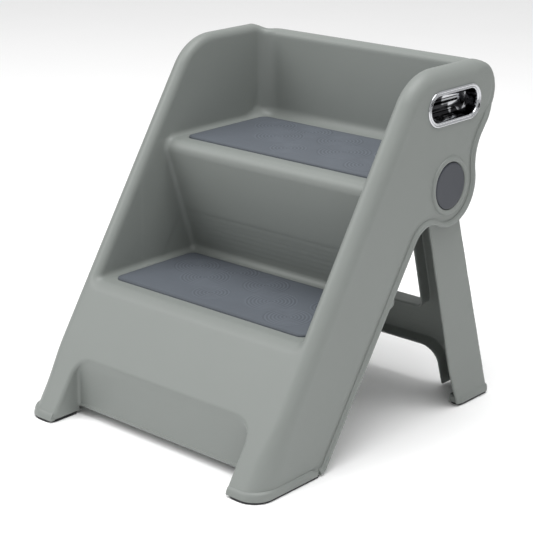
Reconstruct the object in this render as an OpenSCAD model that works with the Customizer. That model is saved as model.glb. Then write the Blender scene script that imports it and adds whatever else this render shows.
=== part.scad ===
// Two-step folding stool: one moulded body with two padded treads and a rear frame that folds.
// Millimetres. +X is the right-hand side, +Y points to the rear, +Z is up.
// The origin is on the floor, under the middle of the open stool.

/* [Overall] */

// Width over the two outer lips
overall_w = 400; // [360:1:440]
// Depth on the floor, front feet to rear feet
overall_d = 456; // [430:1:480]
// Height of the side walls' top edge
overall_h = 450; // [440:1:460]
// Lean of the front face, from vertical
front_lean = 32.94; // [31:0.02:35]
// Lean of the side walls' lower rear edge, from vertical
rear_lean = 34.3; // [33:0.1:35]
// Lean of the side walls' upper rear edge, from vertical
upper_lean = 38; // [34:1:42]
// Skin thickness of the mouldings
skin = 3; // [2.5:0.1:3.6]

/* [Side walls] */

// Thickness of each double side wall over its rounded rim
wall_t = 28; // [26:0.5:30]
// Radius of the front top corner, side view
front_r = 73; // [60:1:80]
// Radius of the rear top corner, side view
lobe_r = 39; // [36:1:40]
// Position of the rear top corner's centre from the front feet
lobe_y = 406.4; // [400:0.2:412]
// Hollow radius between the rear top corner and the hinge bulge
waist_r = 60; // [50:1:70]
// Hollow radius under the hinge bulge
under_r = 34; // [28:1:40]
// Radius of the rear bottom corner
heel_r = 14; // [8:1:18]
// Distance of the lower rear edge's line from the front feet, measured at the floor
rear_edge_y = 119; // [112:0.5:126]
// Width of the raised lip round each side face
lip_w = 8.5; // [6:0.5:12]
// Height of the lip over the side face
lip_h = 3; // [2:0.25:4]

/* [Treads] */

// Height of the lower tread's surface under its pad
tread1_z = 160; // [150:1:170]
// Height of the upper tread's surface under its pad
tread2_z = 322; // [315:1:326]
// Radius of the lower tread's front edge
edge1_r = 14; // [12.5:0.5:18]
// Radius of the upper tread's nose
nose_r = 12.5; // [12:0.5:16]
// Position of the riser's foot from the front feet
riser_y = 284.4; // [280:0.2:288]
// Undercut of the riser, from vertical
riser_lean = 18.5; // [14:0.5:20]
// Radius in the corner between the lower tread and the riser
riser_fillet = 8; // [5:0.5:10]
// Position of the back wall's front face from the front feet
back_y = 428.4; // [426:0.2:432]
// Radius in the corner between the upper tread and the back wall
back_fillet = 14; // [8:0.5:14]
// Radius of the back wall's top edge
back_rim_r = 10; // [8:0.5:12]
// Height of the back wall's top edge
back_z = 443; // [438:0.5:446]
// Depth of the strengthening ribs under the treads
rib_h = 8; // [5:0.5:9]

/* [Pads] */

// Thickness of the rubber pads
pad_t = 2.75; // [2:0.25:4]
// Width of both pads
pad_w = 320; // [306:1:332]
// Front edge of the lower pad, from the front feet
pad1_y = 125; // [120:1:128]
// Depth of the lower pad
pad1_d = 144; // [138:1:147]
// Front edge of the upper pad, from the front feet
pad2_y = 259; // [254:0.5:264]
// Depth of the upper pad
pad2_d = 154; // [144:1:155]
// Corner radius of both pads
pad_r = 11; // [6:1:20]

/* [Front recess] */

// Height of the recess between the front feet
recess_h = 77; // [60:1:90]
// Width of the recess along its top
recess_top_w = 250; // [220:1:270]
// Width of the recess at the floor
recess_bottom_w = 298; // [280:1:304]
// Radius of the recess's upper corners
recess_r = 25; // [10:1:30]
// Depth of the recess behind the front feet
recess_y = 48.4; // [44:0.4:50]
// Height of the recess wall's lower edge
recess_lip_z = 11; // [8:0.5:16]

/* [Hinge] */

// Position of the hinge line from the front feet
hinge_y = 354.4; // [352:0.2:356]
// Height of the hinge line
hinge_z = 303; // [300:0.5:305]
// Radius of the hinge bulge on each side wall
bulge_r = 51.5; // [49:0.5:54]
// Radius of the round hinge cover
cap_r = 29.2; // [26:0.2:30]
// Thickness of the hinge cover's face
cap_t = 2.2; // [1.6:0.1:2.4]
// Gap round the hinge cover
cap_gap = 0.4; // [0.3:0.05:1]
// Radius of the raised ring round the hinge cover
ring_r = 34.5; // [33:0.5:38]
// Shank radius of the pivot bolt
bolt_r = 5; // [4:0.25:6]
// Head radius of the pivot bolt
head_r = 10; // [8:0.5:12]
// Running clearance between shank and bush, radial
run_gap = 0.05; // [0.02:0.01:0.09]
// Outer radius of the bush
bush_r = 8; // [7.5:0.25:9]
// Radius of the rear frame's hub
hub_r = 38; // [30:1:40]
// Side clearance between the hub and the walls beside it
side_gap = 0.8; // [0.5:0.1:1.5]

/* [Grip] */

// Length of the grip's bezel
grip_w = 107; // [96:1:112]
// Height of the grip's bezel
grip_h = 44.5; // [38:0.5:48]
// Width of the bezel's face
bezel_w = 6; // [5:0.5:8]
// Depth of the grip cup behind the side face
grip_depth = 17; // [14:0.5:18]
// Centre of the grip from the front feet
grip_y = 358.9; // [352:0.1:366]
// Height of the grip's centre
grip_z = 402.2; // [398:0.2:406]

/* [Rear frame] */

// Lean of the open rear legs, from vertical
leg_lean = 13.2; // [12:0.1:14]
// Distance from the hinge line to the legs' front edge
leg_front = 39; // [36:0.5:40]
// Distance from the hinge line to the legs' rear edge, at the top
leg_rear = 21.6; // [20:0.2:24]
// Depth of the channel flanges
flange_d = 22; // [16:1:24]
// Half the distance between the legs' inner edges
leg_inner = 125; // [115:1:135]
// Height of the crossbar's lower edge at the centre
bar_z0 = 56; // [48:1:64]
// Height of the crossbar's upper edge
bar_z1 = 116; // [106:1:126]
// Corner radius of the window over the crossbar
window_r = 10; // [6:1:20]
// Radius of the arch under the crossbar, at the feet
arch_r = 24; // [16:1:30]
// Front edge of the rear feet, from the front feet
rear_foot_y = 391; // [388:1:396]
// Inner edge of the rear feet, from the middle
rear_foot_x = 180; // [177:1:182]

/* [Rubber feet] */

// Height of rubber showing under the plastic
foot_t = 2.5; // [2:0.25:4]
// Length of the plugs that hold the rubber feet
plug_h = 7; // [5:0.5:9]
// Radius of the plugs
plug_r = 6; // [4:0.25:7]

/* [Hidden] */

$fn = 96;

half_w = overall_w / 2;
rim_r = wall_t / 2;
rim_x = half_w - rim_r;
side_x = half_w - lip_h;
inner_x = half_w - wall_t;
wall_x = inner_x + 0.5;
far = 600;

// Outward normals of the straight edges, as [y, z]
n_front = [-cos(front_lean), sin(front_lean)];
n_rear = [cos(rear_lean), -sin(rear_lean)];
n_upper = [cos(upper_lean), -sin(upper_lean)];
n_riser = [-cos(riser_lean), -sin(riser_lean)];
up = [0, 1];
hinge = [hinge_y, hinge_z];

function along(n) = [-n[1], n[0]];
function unit(v) = v / norm(v);

// Arc centres of the side outline
toe_r = 6;
toe = [((foot_t + toe_r - foot_t) * sin(front_lean) + toe_r) / cos(front_lean), foot_t + toe_r];
front_top = [((overall_h - front_r - foot_t) * sin(front_lean) + front_r) / cos(front_lean),
  overall_h - front_r];
lobe = [lobe_y, overall_h - lobe_r];
upper_c = n_upper * lobe + lobe_r;
waist_n = upper_c + waist_r - n_upper * hinge;
waist = hinge + waist_n * n_upper
  + sqrt(pow(bulge_r + waist_r, 2) - pow(waist_n, 2)) * along(n_upper);
rear_c = n_rear * [rear_edge_y, 0];
under_n = rear_c + under_r - n_rear * hinge;
under = hinge + under_n * n_rear
  - sqrt(pow(bulge_r + under_r, 2) - pow(under_n, 2)) * along(n_rear);
heel_z = foot_t + heel_r;
heel = [(rear_c - heel_r + heel_z * sin(rear_lean)) / cos(rear_lean), heel_z];

// Arc centres of the stair line
edge1_z = tread1_z - edge1_r;
edge1 = [((edge1_z - foot_t) * sin(front_lean) + edge1_r) / cos(front_lean), edge1_z];
riser_c = n_riser * [riser_y, tread1_z];
corner1_z = tread1_z + riser_fillet;
corner1 = [-(riser_c + riser_fillet + corner1_z * sin(riser_lean)) / cos(riser_lean), corner1_z];
nose_z = tread2_z - nose_r;
nose = [-(riser_c - nose_r + nose_z * sin(riser_lean)) / cos(riser_lean), nose_z];
corner2 = [back_y - back_fillet, tread2_z + back_fillet];
back_rim = [back_y + back_rim_r, back_z - back_rim_r];
back_skin_z = 396;

// Hinge stack along X, on one side
pocket_x = side_x - 3.5;
hub_x1 = pocket_x - skin - side_gap;
hub_x0 = wall_x + skin + side_gap;
washer_t = 1.5;
nut_t = 6;
head_t = 2.4;
ear_r = 36;

module place() translate([0, -overall_d / 2, 0]) children();
module on_side() rotate([90, 0, 90]) children();
module yz(x0, x1) translate([x0, 0, 0]) on_side() linear_extrude(height = x1 - x0) children();
module disc_at(c, r) translate(c) circle(r = r);
module both() {
  children();
  mirror([1, 0, 0]) children();
}
module rod(r, x0, x1) translate([x0, hinge_y, hinge_z]) rotate([0, 90, 0])
  cylinder(r = r, h = x1 - x0);

// Corners of the straight edges that touch an arc, one about every eight degrees
function arc(c, r, a0, a1) = let (n = max(1, ceil(abs(a1 - a0) / 8)), h = (a1 - a0) / n / 2)
  [for (i = [0:n - 1]) c + r / cos(h) * [cos(a0 + (2 * i + 1) * h), sin(a0 + (2 * i + 1) * h)]];

// Side outline, drawn inside the true edge by d
module outline(d = 0) polygon(concat(
  d < toe_r
    ? arc(toe, toe_r - d, 270, 180 - front_lean)
    : [[d * tan(front_lean) + d / cos(front_lean), foot_t + d]],
  arc(front_top, front_r - d, 180 - front_lean, 90),
  arc(lobe, lobe_r - d, 90, -upper_lean),
  arc(waist, waist_r + d, 180 - upper_lean, 180 + waist_a),
  arc(hinge, bulge_r - d, waist_a, under_a),
  arc(under, under_r + d, 180 + under_a, 180 - rear_lean),
  arc(heel, heel_r - d, -rear_lean, -90)
));
waist_a = atan2(waist[1] - hinge[1], waist[0] - hinge[0]);
under_a = atan2(under[1] - hinge[1], under[0] - hinge[0]);

// Everything under and behind the walking surfaces, drawn inside them by d
module stair(d = 0) polygon(concat(
  [[(d > 0 ? -12.5 : 0) * tan(front_lean) + d / cos(front_lean), d > 0 ? -10 : foot_t]],
  arc(edge1, edge1_r - d, 180 - front_lean, 90),
  arc(corner1, riser_fillet + d, 270, 360 + riser_lean),
  arc(nose, nose_r - d, 180 + riser_lean, 90),
  arc(corner2, back_fillet + d, 270, 360),
  arc(back_rim, max(back_rim_r - d, 0.5), 180, 0),
  d > 0
    ? [[back_rim[0] + back_rim_r - d, back_skin_z], [far, back_skin_z], [far, -10]]
    : [[back_rim[0] + back_rim_r, foot_t]]
));

// Rounded rim of a side wall, in slices along X; each angle is counted from the rim's crest
rim_steps = [-90, -66, -44, -22, 0, 22, 44, 68];
module wall_rim() for (i = [0:len(rim_steps) - 2]) {
  a = (rim_steps[i] + rim_steps[i + 1]) / 2;
  d0 = rim_r * (1 - cos(a));
  d1 = min(d0 + skin / cos(a), rim_r - 0.2);
  yz(rim_x + rim_r * sin(rim_steps[i]), rim_x + rim_r * sin(rim_steps[i + 1])) intersection() {
    difference() {
      outline(d0);
      outline(d1);
    }
    union() {
      polygon([[-20, a < 0 ? edge1_z : 0], [25, a < 0 ? edge1_z : 0],
        [26 + 350 * tan(front_lean), 350], [380, 392], [far, 392], [far, far], [-20, far]]);
    }
  }
}

// Edge band of the side face behind and under the rounded rim
module side_lip() intersection() {
  yz(side_x - skin, half_w) difference() {
    outline(0);
    outline(lip_w);
  }
  yz(0, far) polygon([[26, 0], [26 + 350 * tan(front_lean), 350], [380, 392], [far, 392], [far, 0]]);
}

module stadium(l, h) {
  square([l - h, h], center = true);
  for (s = [-1, 1]) translate([s * (l - h) / 2, 0]) circle(r = h / 2);
}
module at_grip(x0, x1) yz(x0, x1) translate([grip_y, grip_z]) children();

module side_wall() {
  difference() {
    union() {
      yz(side_x - skin, side_x) outline(5);
      side_lip();
      rod(ring_r, pocket_x - skin, half_w - 0.6);
    }
    rod(cap_r + cap_gap, pocket_x, half_w + 1);
    rod(bolt_r + 0.1, 0, half_w);
    at_grip(side_x - skin - 1, half_w + 1) stadium(grip_w - 2 * bezel_w + 2, grip_h - 2 * bezel_w + 2);
  }
  difference() {
    rod(24, pocket_x - 0.5, pocket_x + 2.4);
    rod(21, pocket_x - 1, half_w);
  }
  wall_rim();
}

// Inner skin of the double wall, and the ear under the upper tread that carries the pivot
module inner_wall() {
  yz(wall_x, wall_x + skin) difference() {
    union() {
      outline(rim_r - 1);
      polygon([[riser_y - 90, tread1_z - skin], [riser_y + skin, tread1_z - skin],
        [riser_y + skin - (nose_z - tread1_z) * tan(riser_lean), nose_z], [riser_y - 90, nose_z]]);
      polygon([[hinge_y, tread2_z - skin], [back_y + skin, tread2_z - skin],
        [back_y + skin, back_skin_z + 22], [hinge_y, back_skin_z + 22]]);
    }
    stair(skin - 0.2);
  }
  yz(wall_x, side_x - 1) intersection() {
    difference() {
      outline(0);
      outline(skin);
    }
    translate([hinge_y, hinge_z]) square([lobe_y, back_skin_z - hinge_z]);
  }
  difference() {
    yz(wall_x, wall_x + skin) union() {
      disc_at(hinge, ear_r);
      polygon([[hinge_y - ear_r, hinge_z], [hinge_y - 60, tread2_z - 1],
        [hinge_y + 44, tread2_z - 1], [hinge_y + ear_r, hinge_z]]);
    }
    rod(bolt_r + 0.1, 0, half_w);
  }
}

module recess_shape(e = 0) {
  w0 = recess_bottom_w / 2 + e;
  w1 = recess_top_w / 2 + e;
  h = recess_h + e;
  r = recess_r + e;
  polygon([[-w0, -20], [w0, -20], [w0, h - r], [w0 - 0.1, h - r], [w1 - r + 24, h], [-w1 + r - 24, h],
    [-w0 + 0.1, h - r], [-w0, h - r]]);
  for (s = [-1, 1]) translate([s * (w0 - r), h - r]) circle(r = r);
}
module along_y(y0, y1) translate([0, y1, 0]) rotate([90, 0, 0]) linear_extrude(height = y1 - y0)
  children();

module recess_tub() difference() {
  intersection() {
    yz(-rim_x, rim_x) stair(0);
    along_y(-5, recess_y + skin) intersection() {
      recess_shape(skin);
      translate([-far / 2, foot_t]) square([far, far]);
    }
  }
  along_y(-10, recess_y) recess_shape(0);
  translate([-recess_bottom_w / 2, -10, -10]) cube([recess_bottom_w, far, recess_lip_z + 10]);
}

module stairs() difference() {
  union() {
    yz(-wall_x - skin, wall_x + skin) intersection() {
      difference() {
        stair(0);
        stair(skin);
      }
      translate([0, edge1_z]) square([far, far]);
    }
    yz(-rim_x, rim_x) intersection() {
      difference() {
        stair(0);
        stair(skin);
      }
      square([200, edge1_z + 0.01]);
    }
    for (x = [-1, 0, 1]) yz(x * pad_w / 4 - 1.25, x * pad_w / 4 + 1.25) intersection() {
      difference() {
        stair(skin - 0.2);
        stair(skin + rib_h);
      }
      translate([edge1[0] + 6, edge1_z]) square([back_y - edge1[0], tread2_z - edge1_z]);
    }
  }
  along_y(-10, recess_y) recess_shape(0);
}

// Rear skin of the back wall, between the side walls
module back_skin() yz(-wall_x - skin, wall_x + skin) intersection() {
  difference() {
    outline(0);
    outline(skin);
  }
  translate([back_y + 1, 352]) square([100, back_skin_z - 352 + 6]);
}

// Sole plate of a front foot, with the holes for the rubber foot's plugs
module front_sole() difference() {
  intersection() {
    yz(recess_bottom_w / 2 + 1, side_x - 1) outline(1);
    translate([0, 0, foot_t]) cube([half_w, far, skin]);
    union() {
      translate([recess_bottom_w / 2, 0, 0]) cube([far, recess_y + 1, 20]);
      translate([wall_x, 0, 0]) cube([far, 118, 20]);
    }
  }
  for (y = plug_ys) translate([rim_x, y, -1]) cylinder(r = plug_r, h = 20);
}
plug_ys = [38, 68, 98];

module body_shell() color("#8d928c") place() {
  stairs();
  recess_tub();
  back_skin();
  both() {
    side_wall();
    inner_wall();
    front_sole();
  }
}

module tread_pad(y0, depth, z) color("#6b7078") place() translate([0, 0, z])
  linear_extrude(height = pad_t) {
    translate([-pad_w / 2 + pad_r, y0]) square([pad_w - 2 * pad_r, depth]);
    translate([-pad_w / 2, y0 + pad_r]) square([pad_w, depth - 2 * pad_r]);
    for (x = [-1, 1], y = [y0 + pad_r, y0 + depth - pad_r])
      translate([x * (pad_w / 2 - pad_r), y]) circle(r = pad_r);
  }

module grip_cup() color("#c9cdd0") place() {
  l = grip_w - 2 * bezel_w;
  h = grip_h - 2 * bezel_w;
  difference() {
    at_grip(side_x, side_x + 2) stadium(grip_w, grip_h);
    at_grip(0, half_w) stadium(l - 1, h - 1);
  }
  difference() {
    at_grip(side_x - grip_depth, side_x + 1) stadium(l + 1.9, h + 1.9);
    at_grip(side_x - grip_depth + 1.5, half_w) stadium(l - 1, h - 1);
  }
}

module hinge_cap() color("#4b4d57") place() {
  face_x = half_w - 0.6 - 1.2 - cap_t;
  rod(cap_r, face_x, face_x + cap_t);
  difference() {
    rod(26.5, pocket_x, face_x + 0.5);
    rod(24.02, pocket_x - 1, face_x);
  }
}

module pivot_bolt() color("#a9adb2") place() {
  rod(head_r, pocket_x, pocket_x + head_t);
  rod(bolt_r, wall_x - washer_t - nut_t - 2, pocket_x + 0.5);
}

module pivot_bush() color("#d8d8d2") place() difference() {
  union() {
    rod(bush_r, hub_x0 - side_gap + 0.3, hub_x1 + side_gap - 0.3);
    rod(bush_r + 3, hub_x1, hub_x1 + side_gap - 0.3);
    rod(bush_r + 3, hub_x0 - side_gap + 0.3, hub_x0);
  }
  rod(bolt_r + run_gap, 0, half_w);
}

module pivot_washer() color("#b4b8bc") place() difference() {
  rod(head_r, wall_x - washer_t, wall_x);
  rod(bolt_r + 0.2, 0, half_w);
}

module pivot_nut() color("#9da1a6") place() difference() {
  translate([wall_x - washer_t - nut_t, hinge_y, hinge_z]) rotate([0, 90, 0])
    cylinder(r = 9.2, h = nut_t, $fn = 6);
  rod(bolt_r, 0, half_w);
}

module front_foot() color("#26272a") place() {
  intersection() {
    yz(recess_bottom_w / 2 + 2, half_w - 1.5) translate([0, -foot_t]) square([120, 2 * foot_t]);
    union() {
      translate([recess_bottom_w / 2 + 2, 0, 0]) cube([far, recess_y - 1, foot_t]);
      translate([wall_x, 0, 0]) cube([far, 114, foot_t]);
    }
    union() {
      translate([recess_bottom_w / 2 + 2, 20, 0]) cube([far, far, 10]);
      translate([recess_bottom_w / 2 + 22, 0, 0]) cube([half_w - recess_bottom_w / 2 - 43.5, far, 10]);
      for (x = [recess_bottom_w / 2 + 22, half_w - 21.5]) translate([x, 20, 0]) cylinder(r = 20, h = 10);
    }
  }
  for (y = plug_ys) translate([rim_x, y, 1]) cylinder(r = plug_r, h = plug_h);
}

// ---- rear frame, drawn upright with the hinge line at the origin ----

module leg_place() place() translate([0, hinge_y, hinge_z]) rotate([leg_lean, 0, 0]) children();
function down(z) = -(hinge_z - z) / cos(leg_lean);
foot_down = down(foot_t) - 22;
leg_top = -46;
foot_x1 = half_w - 1.5;
leg_slant_z = down(30);

// Side view of a leg
module leg_side() polygon([[-leg_front, leg_top], [-leg_front - 3, down(66)], [-leg_front, down(30)],
  [-leg_front + 8, foot_down], [leg_rear + 9, foot_down], [leg_rear + 5, down(28)],
  [leg_rear, leg_top]]);

// Front view of the H, from the outer edges to the window and the arch
module frame_front(e = 0) difference() {
  union() {
    polygon([[-hub_x1 + e, leg_top - e], [-foot_x1 + e, leg_slant_z], [-foot_x1 + e, foot_down],
      [foot_x1 - e, foot_down], [foot_x1 - e, leg_slant_z], [hub_x1 - e, leg_top - e]]);
  }
  // window between the legs
  hull_rect(-leg_inner - e, leg_inner + e, down(bar_z1) - e, 60, window_r + e);
  // arch between the feet
  hull_rect(-leg_inner - 14 - e, leg_inner + 14 + e, foot_down - 80, down(bar_z0) + e, arch_r + e);
}
module hull_rect(x0, x1, z0, z1, r) {
  translate([x0 + r, z0]) square([x1 - x0 - 2 * r, z1 - z0]);
  translate([x0, z0 + r]) square([x1 - x0, z1 - z0 - 2 * r]);
  for (x = [x0 + r, x1 - r], z = [z0 + r, z1 - r]) translate([x, z]) circle(r = r);
}

module rear_frame() color("#868b85") {
  intersection() {
    leg_place() difference() {
      union() {
        // web at the rear, full height
        intersection() {
          along_y(-60, 60) frame_front();
          yz(-half_w, half_w) difference() {
            leg_side();
            translate([-skin, 0]) leg_side();
          }
          yz(-half_w, half_w) translate([0, -far]) square([far, 2 * far]);
        }
        // flanges round the window, the arch and the top
        intersection() {
          along_y(-60, 60) difference() {
            frame_front();
            frame_front(skin);
          }
          yz(-half_w, half_w) difference() {
            leg_side();
            translate([-flange_d, 0]) leg_side();
          }
          yz(-half_w, half_w) translate([-10, -far]) square([far, 2 * far]);
        }
        // deep outer flanges
        both() intersection() {
          along_y(-60, 60) difference() {
            frame_front();
            frame_front(skin);
            translate([-far, -far]) square([far + leg_inner + 20, 2 * far]);
          }
          yz(0, half_w) leg_side();
        }
        // stiffening rib on the crossbar
        along_y(leg_rear - 12, leg_rear + 1) translate([-1.5, down(bar_z0)])
          square([3, (bar_z1 - bar_z0) / cos(leg_lean)]);
      }
    }
    place() translate([-half_w, 0, foot_t]) cube([overall_w, overall_d, far]);
  }
  // hubs and the necks that join them to the legs
  both() leg_place() difference() {
    union() {
      translate([hub_x0, 0, 0]) rotate([0, 90, 0]) cylinder(r = hub_r, h = hub_x1 - hub_x0);
      yz(hub_x1 - 3.5, hub_x1) polygon([[-hub_r + 1, 0], [-leg_front, leg_top], [-leg_front, leg_top - 14],
        [leg_rear, leg_top - 14], [leg_rear, leg_top], [hub_r - 1, 0]]);
      yz(hub_x0, hub_x1) polygon([[-12, 0], [-12, leg_top - 2], [leg_rear, leg_top - 2], [leg_rear, 0]]);
    }
    translate([0, 0, 0]) rotate([0, 90, 0]) cylinder(r = bush_r, h = half_w);
    // thin the hub from its inner side
    translate([hub_x0 - 1, 0, 0]) rotate([0, 90, 0]) difference() {
      cylinder(r = hub_r - 4, h = hub_x1 - hub_x0 - 3 + 1);
      translate([0, 0, -1]) cylinder(r = bush_r + 4, h = 40);
    }
  }
  // flat foot with its lip
  both() place() difference() {
    translate([rear_foot_x, rear_foot_y, foot_t]) cube([half_w - rear_foot_x,
      overall_d - rear_foot_y, 10]);
    translate([rear_foot_x + skin, rear_foot_y + skin, foot_t + skin]) cube([half_w - rear_foot_x
      - 2 * skin, overall_d - rear_foot_y - 2 * skin, 20]);
    for (y = rear_plug_ys) translate([rear_plug_x, y, -1]) cylinder(r = rear_plug_r, h = 20);
  }
}
rear_plug_ys = [rear_foot_y + 18, overall_d - 18];
rear_plug_x = (rear_foot_x + half_w) / 2;
rear_plug_r = 5;

module rear_foot() color("#26272a") place() {
  translate([rear_foot_x + 2, rear_foot_y + 2, 0]) cube([half_w - rear_foot_x - 4,
    overall_d - rear_foot_y - 3, foot_t]);
  for (y = rear_plug_ys) translate([rear_plug_x, y, 1]) cylinder(r = rear_plug_r, h = plug_h);
}

body_shell();
tread_pad(pad1_y, pad1_d, tread1_z);  // lower_tread_pad
tread_pad(pad2_y, pad2_d, tread2_z);  // upper_tread_pad
mirror([1, 0, 0]) grip_cup();  // grip_cup_left
grip_cup();  // grip_cup_right
mirror([1, 0, 0]) hinge_cap();  // hinge_cap_left
hinge_cap();  // hinge_cap_right
mirror([1, 0, 0]) pivot_bolt();  // pivot_bolt_left
pivot_bolt();  // pivot_bolt_right
mirror([1, 0, 0]) pivot_bush();  // pivot_bush_left
pivot_bush();  // pivot_bush_right
mirror([1, 0, 0]) pivot_washer();  // pivot_washer_left
pivot_washer();  // pivot_washer_right
mirror([1, 0, 0]) pivot_nut();  // pivot_nut_left
pivot_nut();  // pivot_nut_right
rear_frame();
mirror([1, 0, 0]) front_foot();  // front_foot_left
front_foot();  // front_foot_right
mirror([1, 0, 0]) rear_foot();  // rear_foot_left
rear_foot();  // rear_foot_right
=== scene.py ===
"""Two-step folding stool: a soft moulded shell, two rubber treads and a rear frame that folds.

Lengths are worked out in millimetres, with y counted from the front feet, and are turned into the
model's metres when a mesh is made.
"""

import logging  # noqa: E402
import math  # noqa: E402
from contextlib import contextmanager  # noqa: E402
from dataclasses import dataclass  # noqa: E402
from enum import Enum  # noqa: E402
from typing import Any, Iterator, Sequence  # noqa: E402

import bmesh  # noqa: E402
import bpy  # noqa: E402
import numpy as np  # noqa: E402
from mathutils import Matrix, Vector  # noqa: E402


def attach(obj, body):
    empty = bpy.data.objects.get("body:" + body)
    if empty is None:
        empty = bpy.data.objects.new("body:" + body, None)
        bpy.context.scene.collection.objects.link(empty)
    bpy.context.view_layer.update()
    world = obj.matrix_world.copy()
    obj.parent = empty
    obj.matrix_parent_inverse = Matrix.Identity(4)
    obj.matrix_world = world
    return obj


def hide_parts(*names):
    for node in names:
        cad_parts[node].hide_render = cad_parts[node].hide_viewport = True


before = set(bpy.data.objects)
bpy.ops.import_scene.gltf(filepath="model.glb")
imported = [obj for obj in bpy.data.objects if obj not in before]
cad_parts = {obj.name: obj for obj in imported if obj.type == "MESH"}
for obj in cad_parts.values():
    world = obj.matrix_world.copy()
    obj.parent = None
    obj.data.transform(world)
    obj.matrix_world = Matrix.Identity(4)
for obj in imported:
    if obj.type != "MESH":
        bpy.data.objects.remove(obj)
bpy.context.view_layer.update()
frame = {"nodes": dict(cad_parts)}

LOG = logging.getLogger("step_stool")
MM = 0.001
HALF_DEPTH = 228.0
Array = np.ndarray


class Side(Enum):
    """A side of the stool, as the sign of X."""

    LEFT = -1
    RIGHT = 1


class Body(Enum):
    """A body of the model."""

    SHELL = "body"
    FRAME = "rear_frame"


# ---------------------------------------------------------------- plane shapes


def arc(centre: Sequence[float], radius: float, start: float, end: float, step: float = 3.0) -> Array:
    """Points on a circle: centre plus radius times (cos a, sin a), with a running evenly.

    Args:
        centre: the circle's centre.
        radius: the circle's radius.
        start: first angle in degrees.
        end: last angle in degrees.
        step: largest angle between two points.

    Returns:
        An array of points, one a row.
    """
    count = max(2, int(abs(end - start) / step) + 2)
    a = np.radians(np.linspace(start, end, count))
    return np.stack([centre[0] + radius * np.cos(a), centre[1] + radius * np.sin(a)], axis=1)


def polygon_distance(u: Array, v: Array, outline: Array) -> Array:
    """Signed distance from grid points to a polygon, negative inside.

    The distance is the least over the edges of the distance to the edge's nearest point, and the
    sign comes from how many edges a ray along u crosses.

    Args:
        u: first coordinates, one axis.
        v: second coordinates, one axis.
        outline: the polygon's corners, one a row.

    Returns:
        An array of the shape (len(u), len(v)).
    """
    p = np.stack(np.meshgrid(u, v, indexing="ij"), axis=-1).reshape(-1, 1, 2)
    a, b = outline[None], np.roll(outline, -1, axis=0)[None]
    best, inside = [], []
    for part in np.array_split(p, max(1, len(p) // 20000)):
        edge, rel = b - a, part - a
        t = np.clip((rel * edge).sum(-1) / np.maximum((edge**2).sum(-1), 1e-12), 0, 1)
        best.append(np.linalg.norm(rel - t[..., None] * edge, axis=-1).min(axis=1))
        above = (a[..., 1] > part[..., 1]) != (b[..., 1] > part[..., 1])
        span = np.where(np.abs(edge[..., 1]) < 1e-12, 1e-12, edge[..., 1])
        cut = a[..., 0] + rel[..., 1] * edge[..., 0] / span
        inside.append((above & (part[..., 0] < cut)).sum(axis=1) % 2 == 1)
    d = np.where(np.concatenate(inside), -1.0, 1.0) * np.concatenate(best)
    return d.reshape(len(u), len(v)).astype(np.float32)


def detail(fine: float, coarse: float) -> float:
    """The step of a mesh.

    Args:
        fine: the step of the finished model.
        coarse: not used.

    Returns:
        The fine step.
    """
    return fine


def smooth_step(low: float, high: float, value: Array) -> Array:
    """0 below low, 1 above high, and 3t^2 - 2t^3 between them.

    Args:
        low: where the rise starts.
        high: where it ends.
        value: where to take it.

    Returns:
        Numbers from 0 to 1.
    """
    t = np.clip((value - low) / (high - low), 0, 1)
    return t * t * (3 - 2 * t)


def round_both(a: Array, b: Array, radius: Array | float) -> Array:
    """Where both solids are, with the edge between them rounded.

    Inside the rounding zone the value is the distance to a circle of the given radius whose centre
    lies a radius inside both surfaces.

    Args:
        a: samples of one solid.
        b: samples of the other.
        radius: the rounding's radius.

    Returns:
        Samples of what they share.
    """
    p, q = a + radius, b + radius
    return np.minimum(np.maximum(p, q), 0) + np.hypot(np.maximum(p, 0), np.maximum(q, 0)) - radius


def smooth_either(a: Array, b: Array, blend: float) -> Array:
    """Where either solid is, with the corner between them filled.

    Args:
        a: samples of one solid.
        b: samples of the other.
        blend: how far from the corner the filling reaches.

    Returns:
        Samples of the two together.
    """
    h = np.maximum(blend - np.abs(a - b), 0) / blend
    return np.minimum(a, b) - h * h * blend / 4


# ---------------------------------------------------------------- meshes


@dataclass(frozen=True)
class Places:
    """Places in the model: the distance from the middle plane, y and z, each along its own axis."""

    across: Array
    y: Array
    z: Array

    def side_view(self, outline: Array) -> Array:
        """Signed distance to an outline in y and z that runs across the whole width."""
        return polygon_distance(self.y.ravel(), self.z.ravel(), outline)[None]


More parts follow.
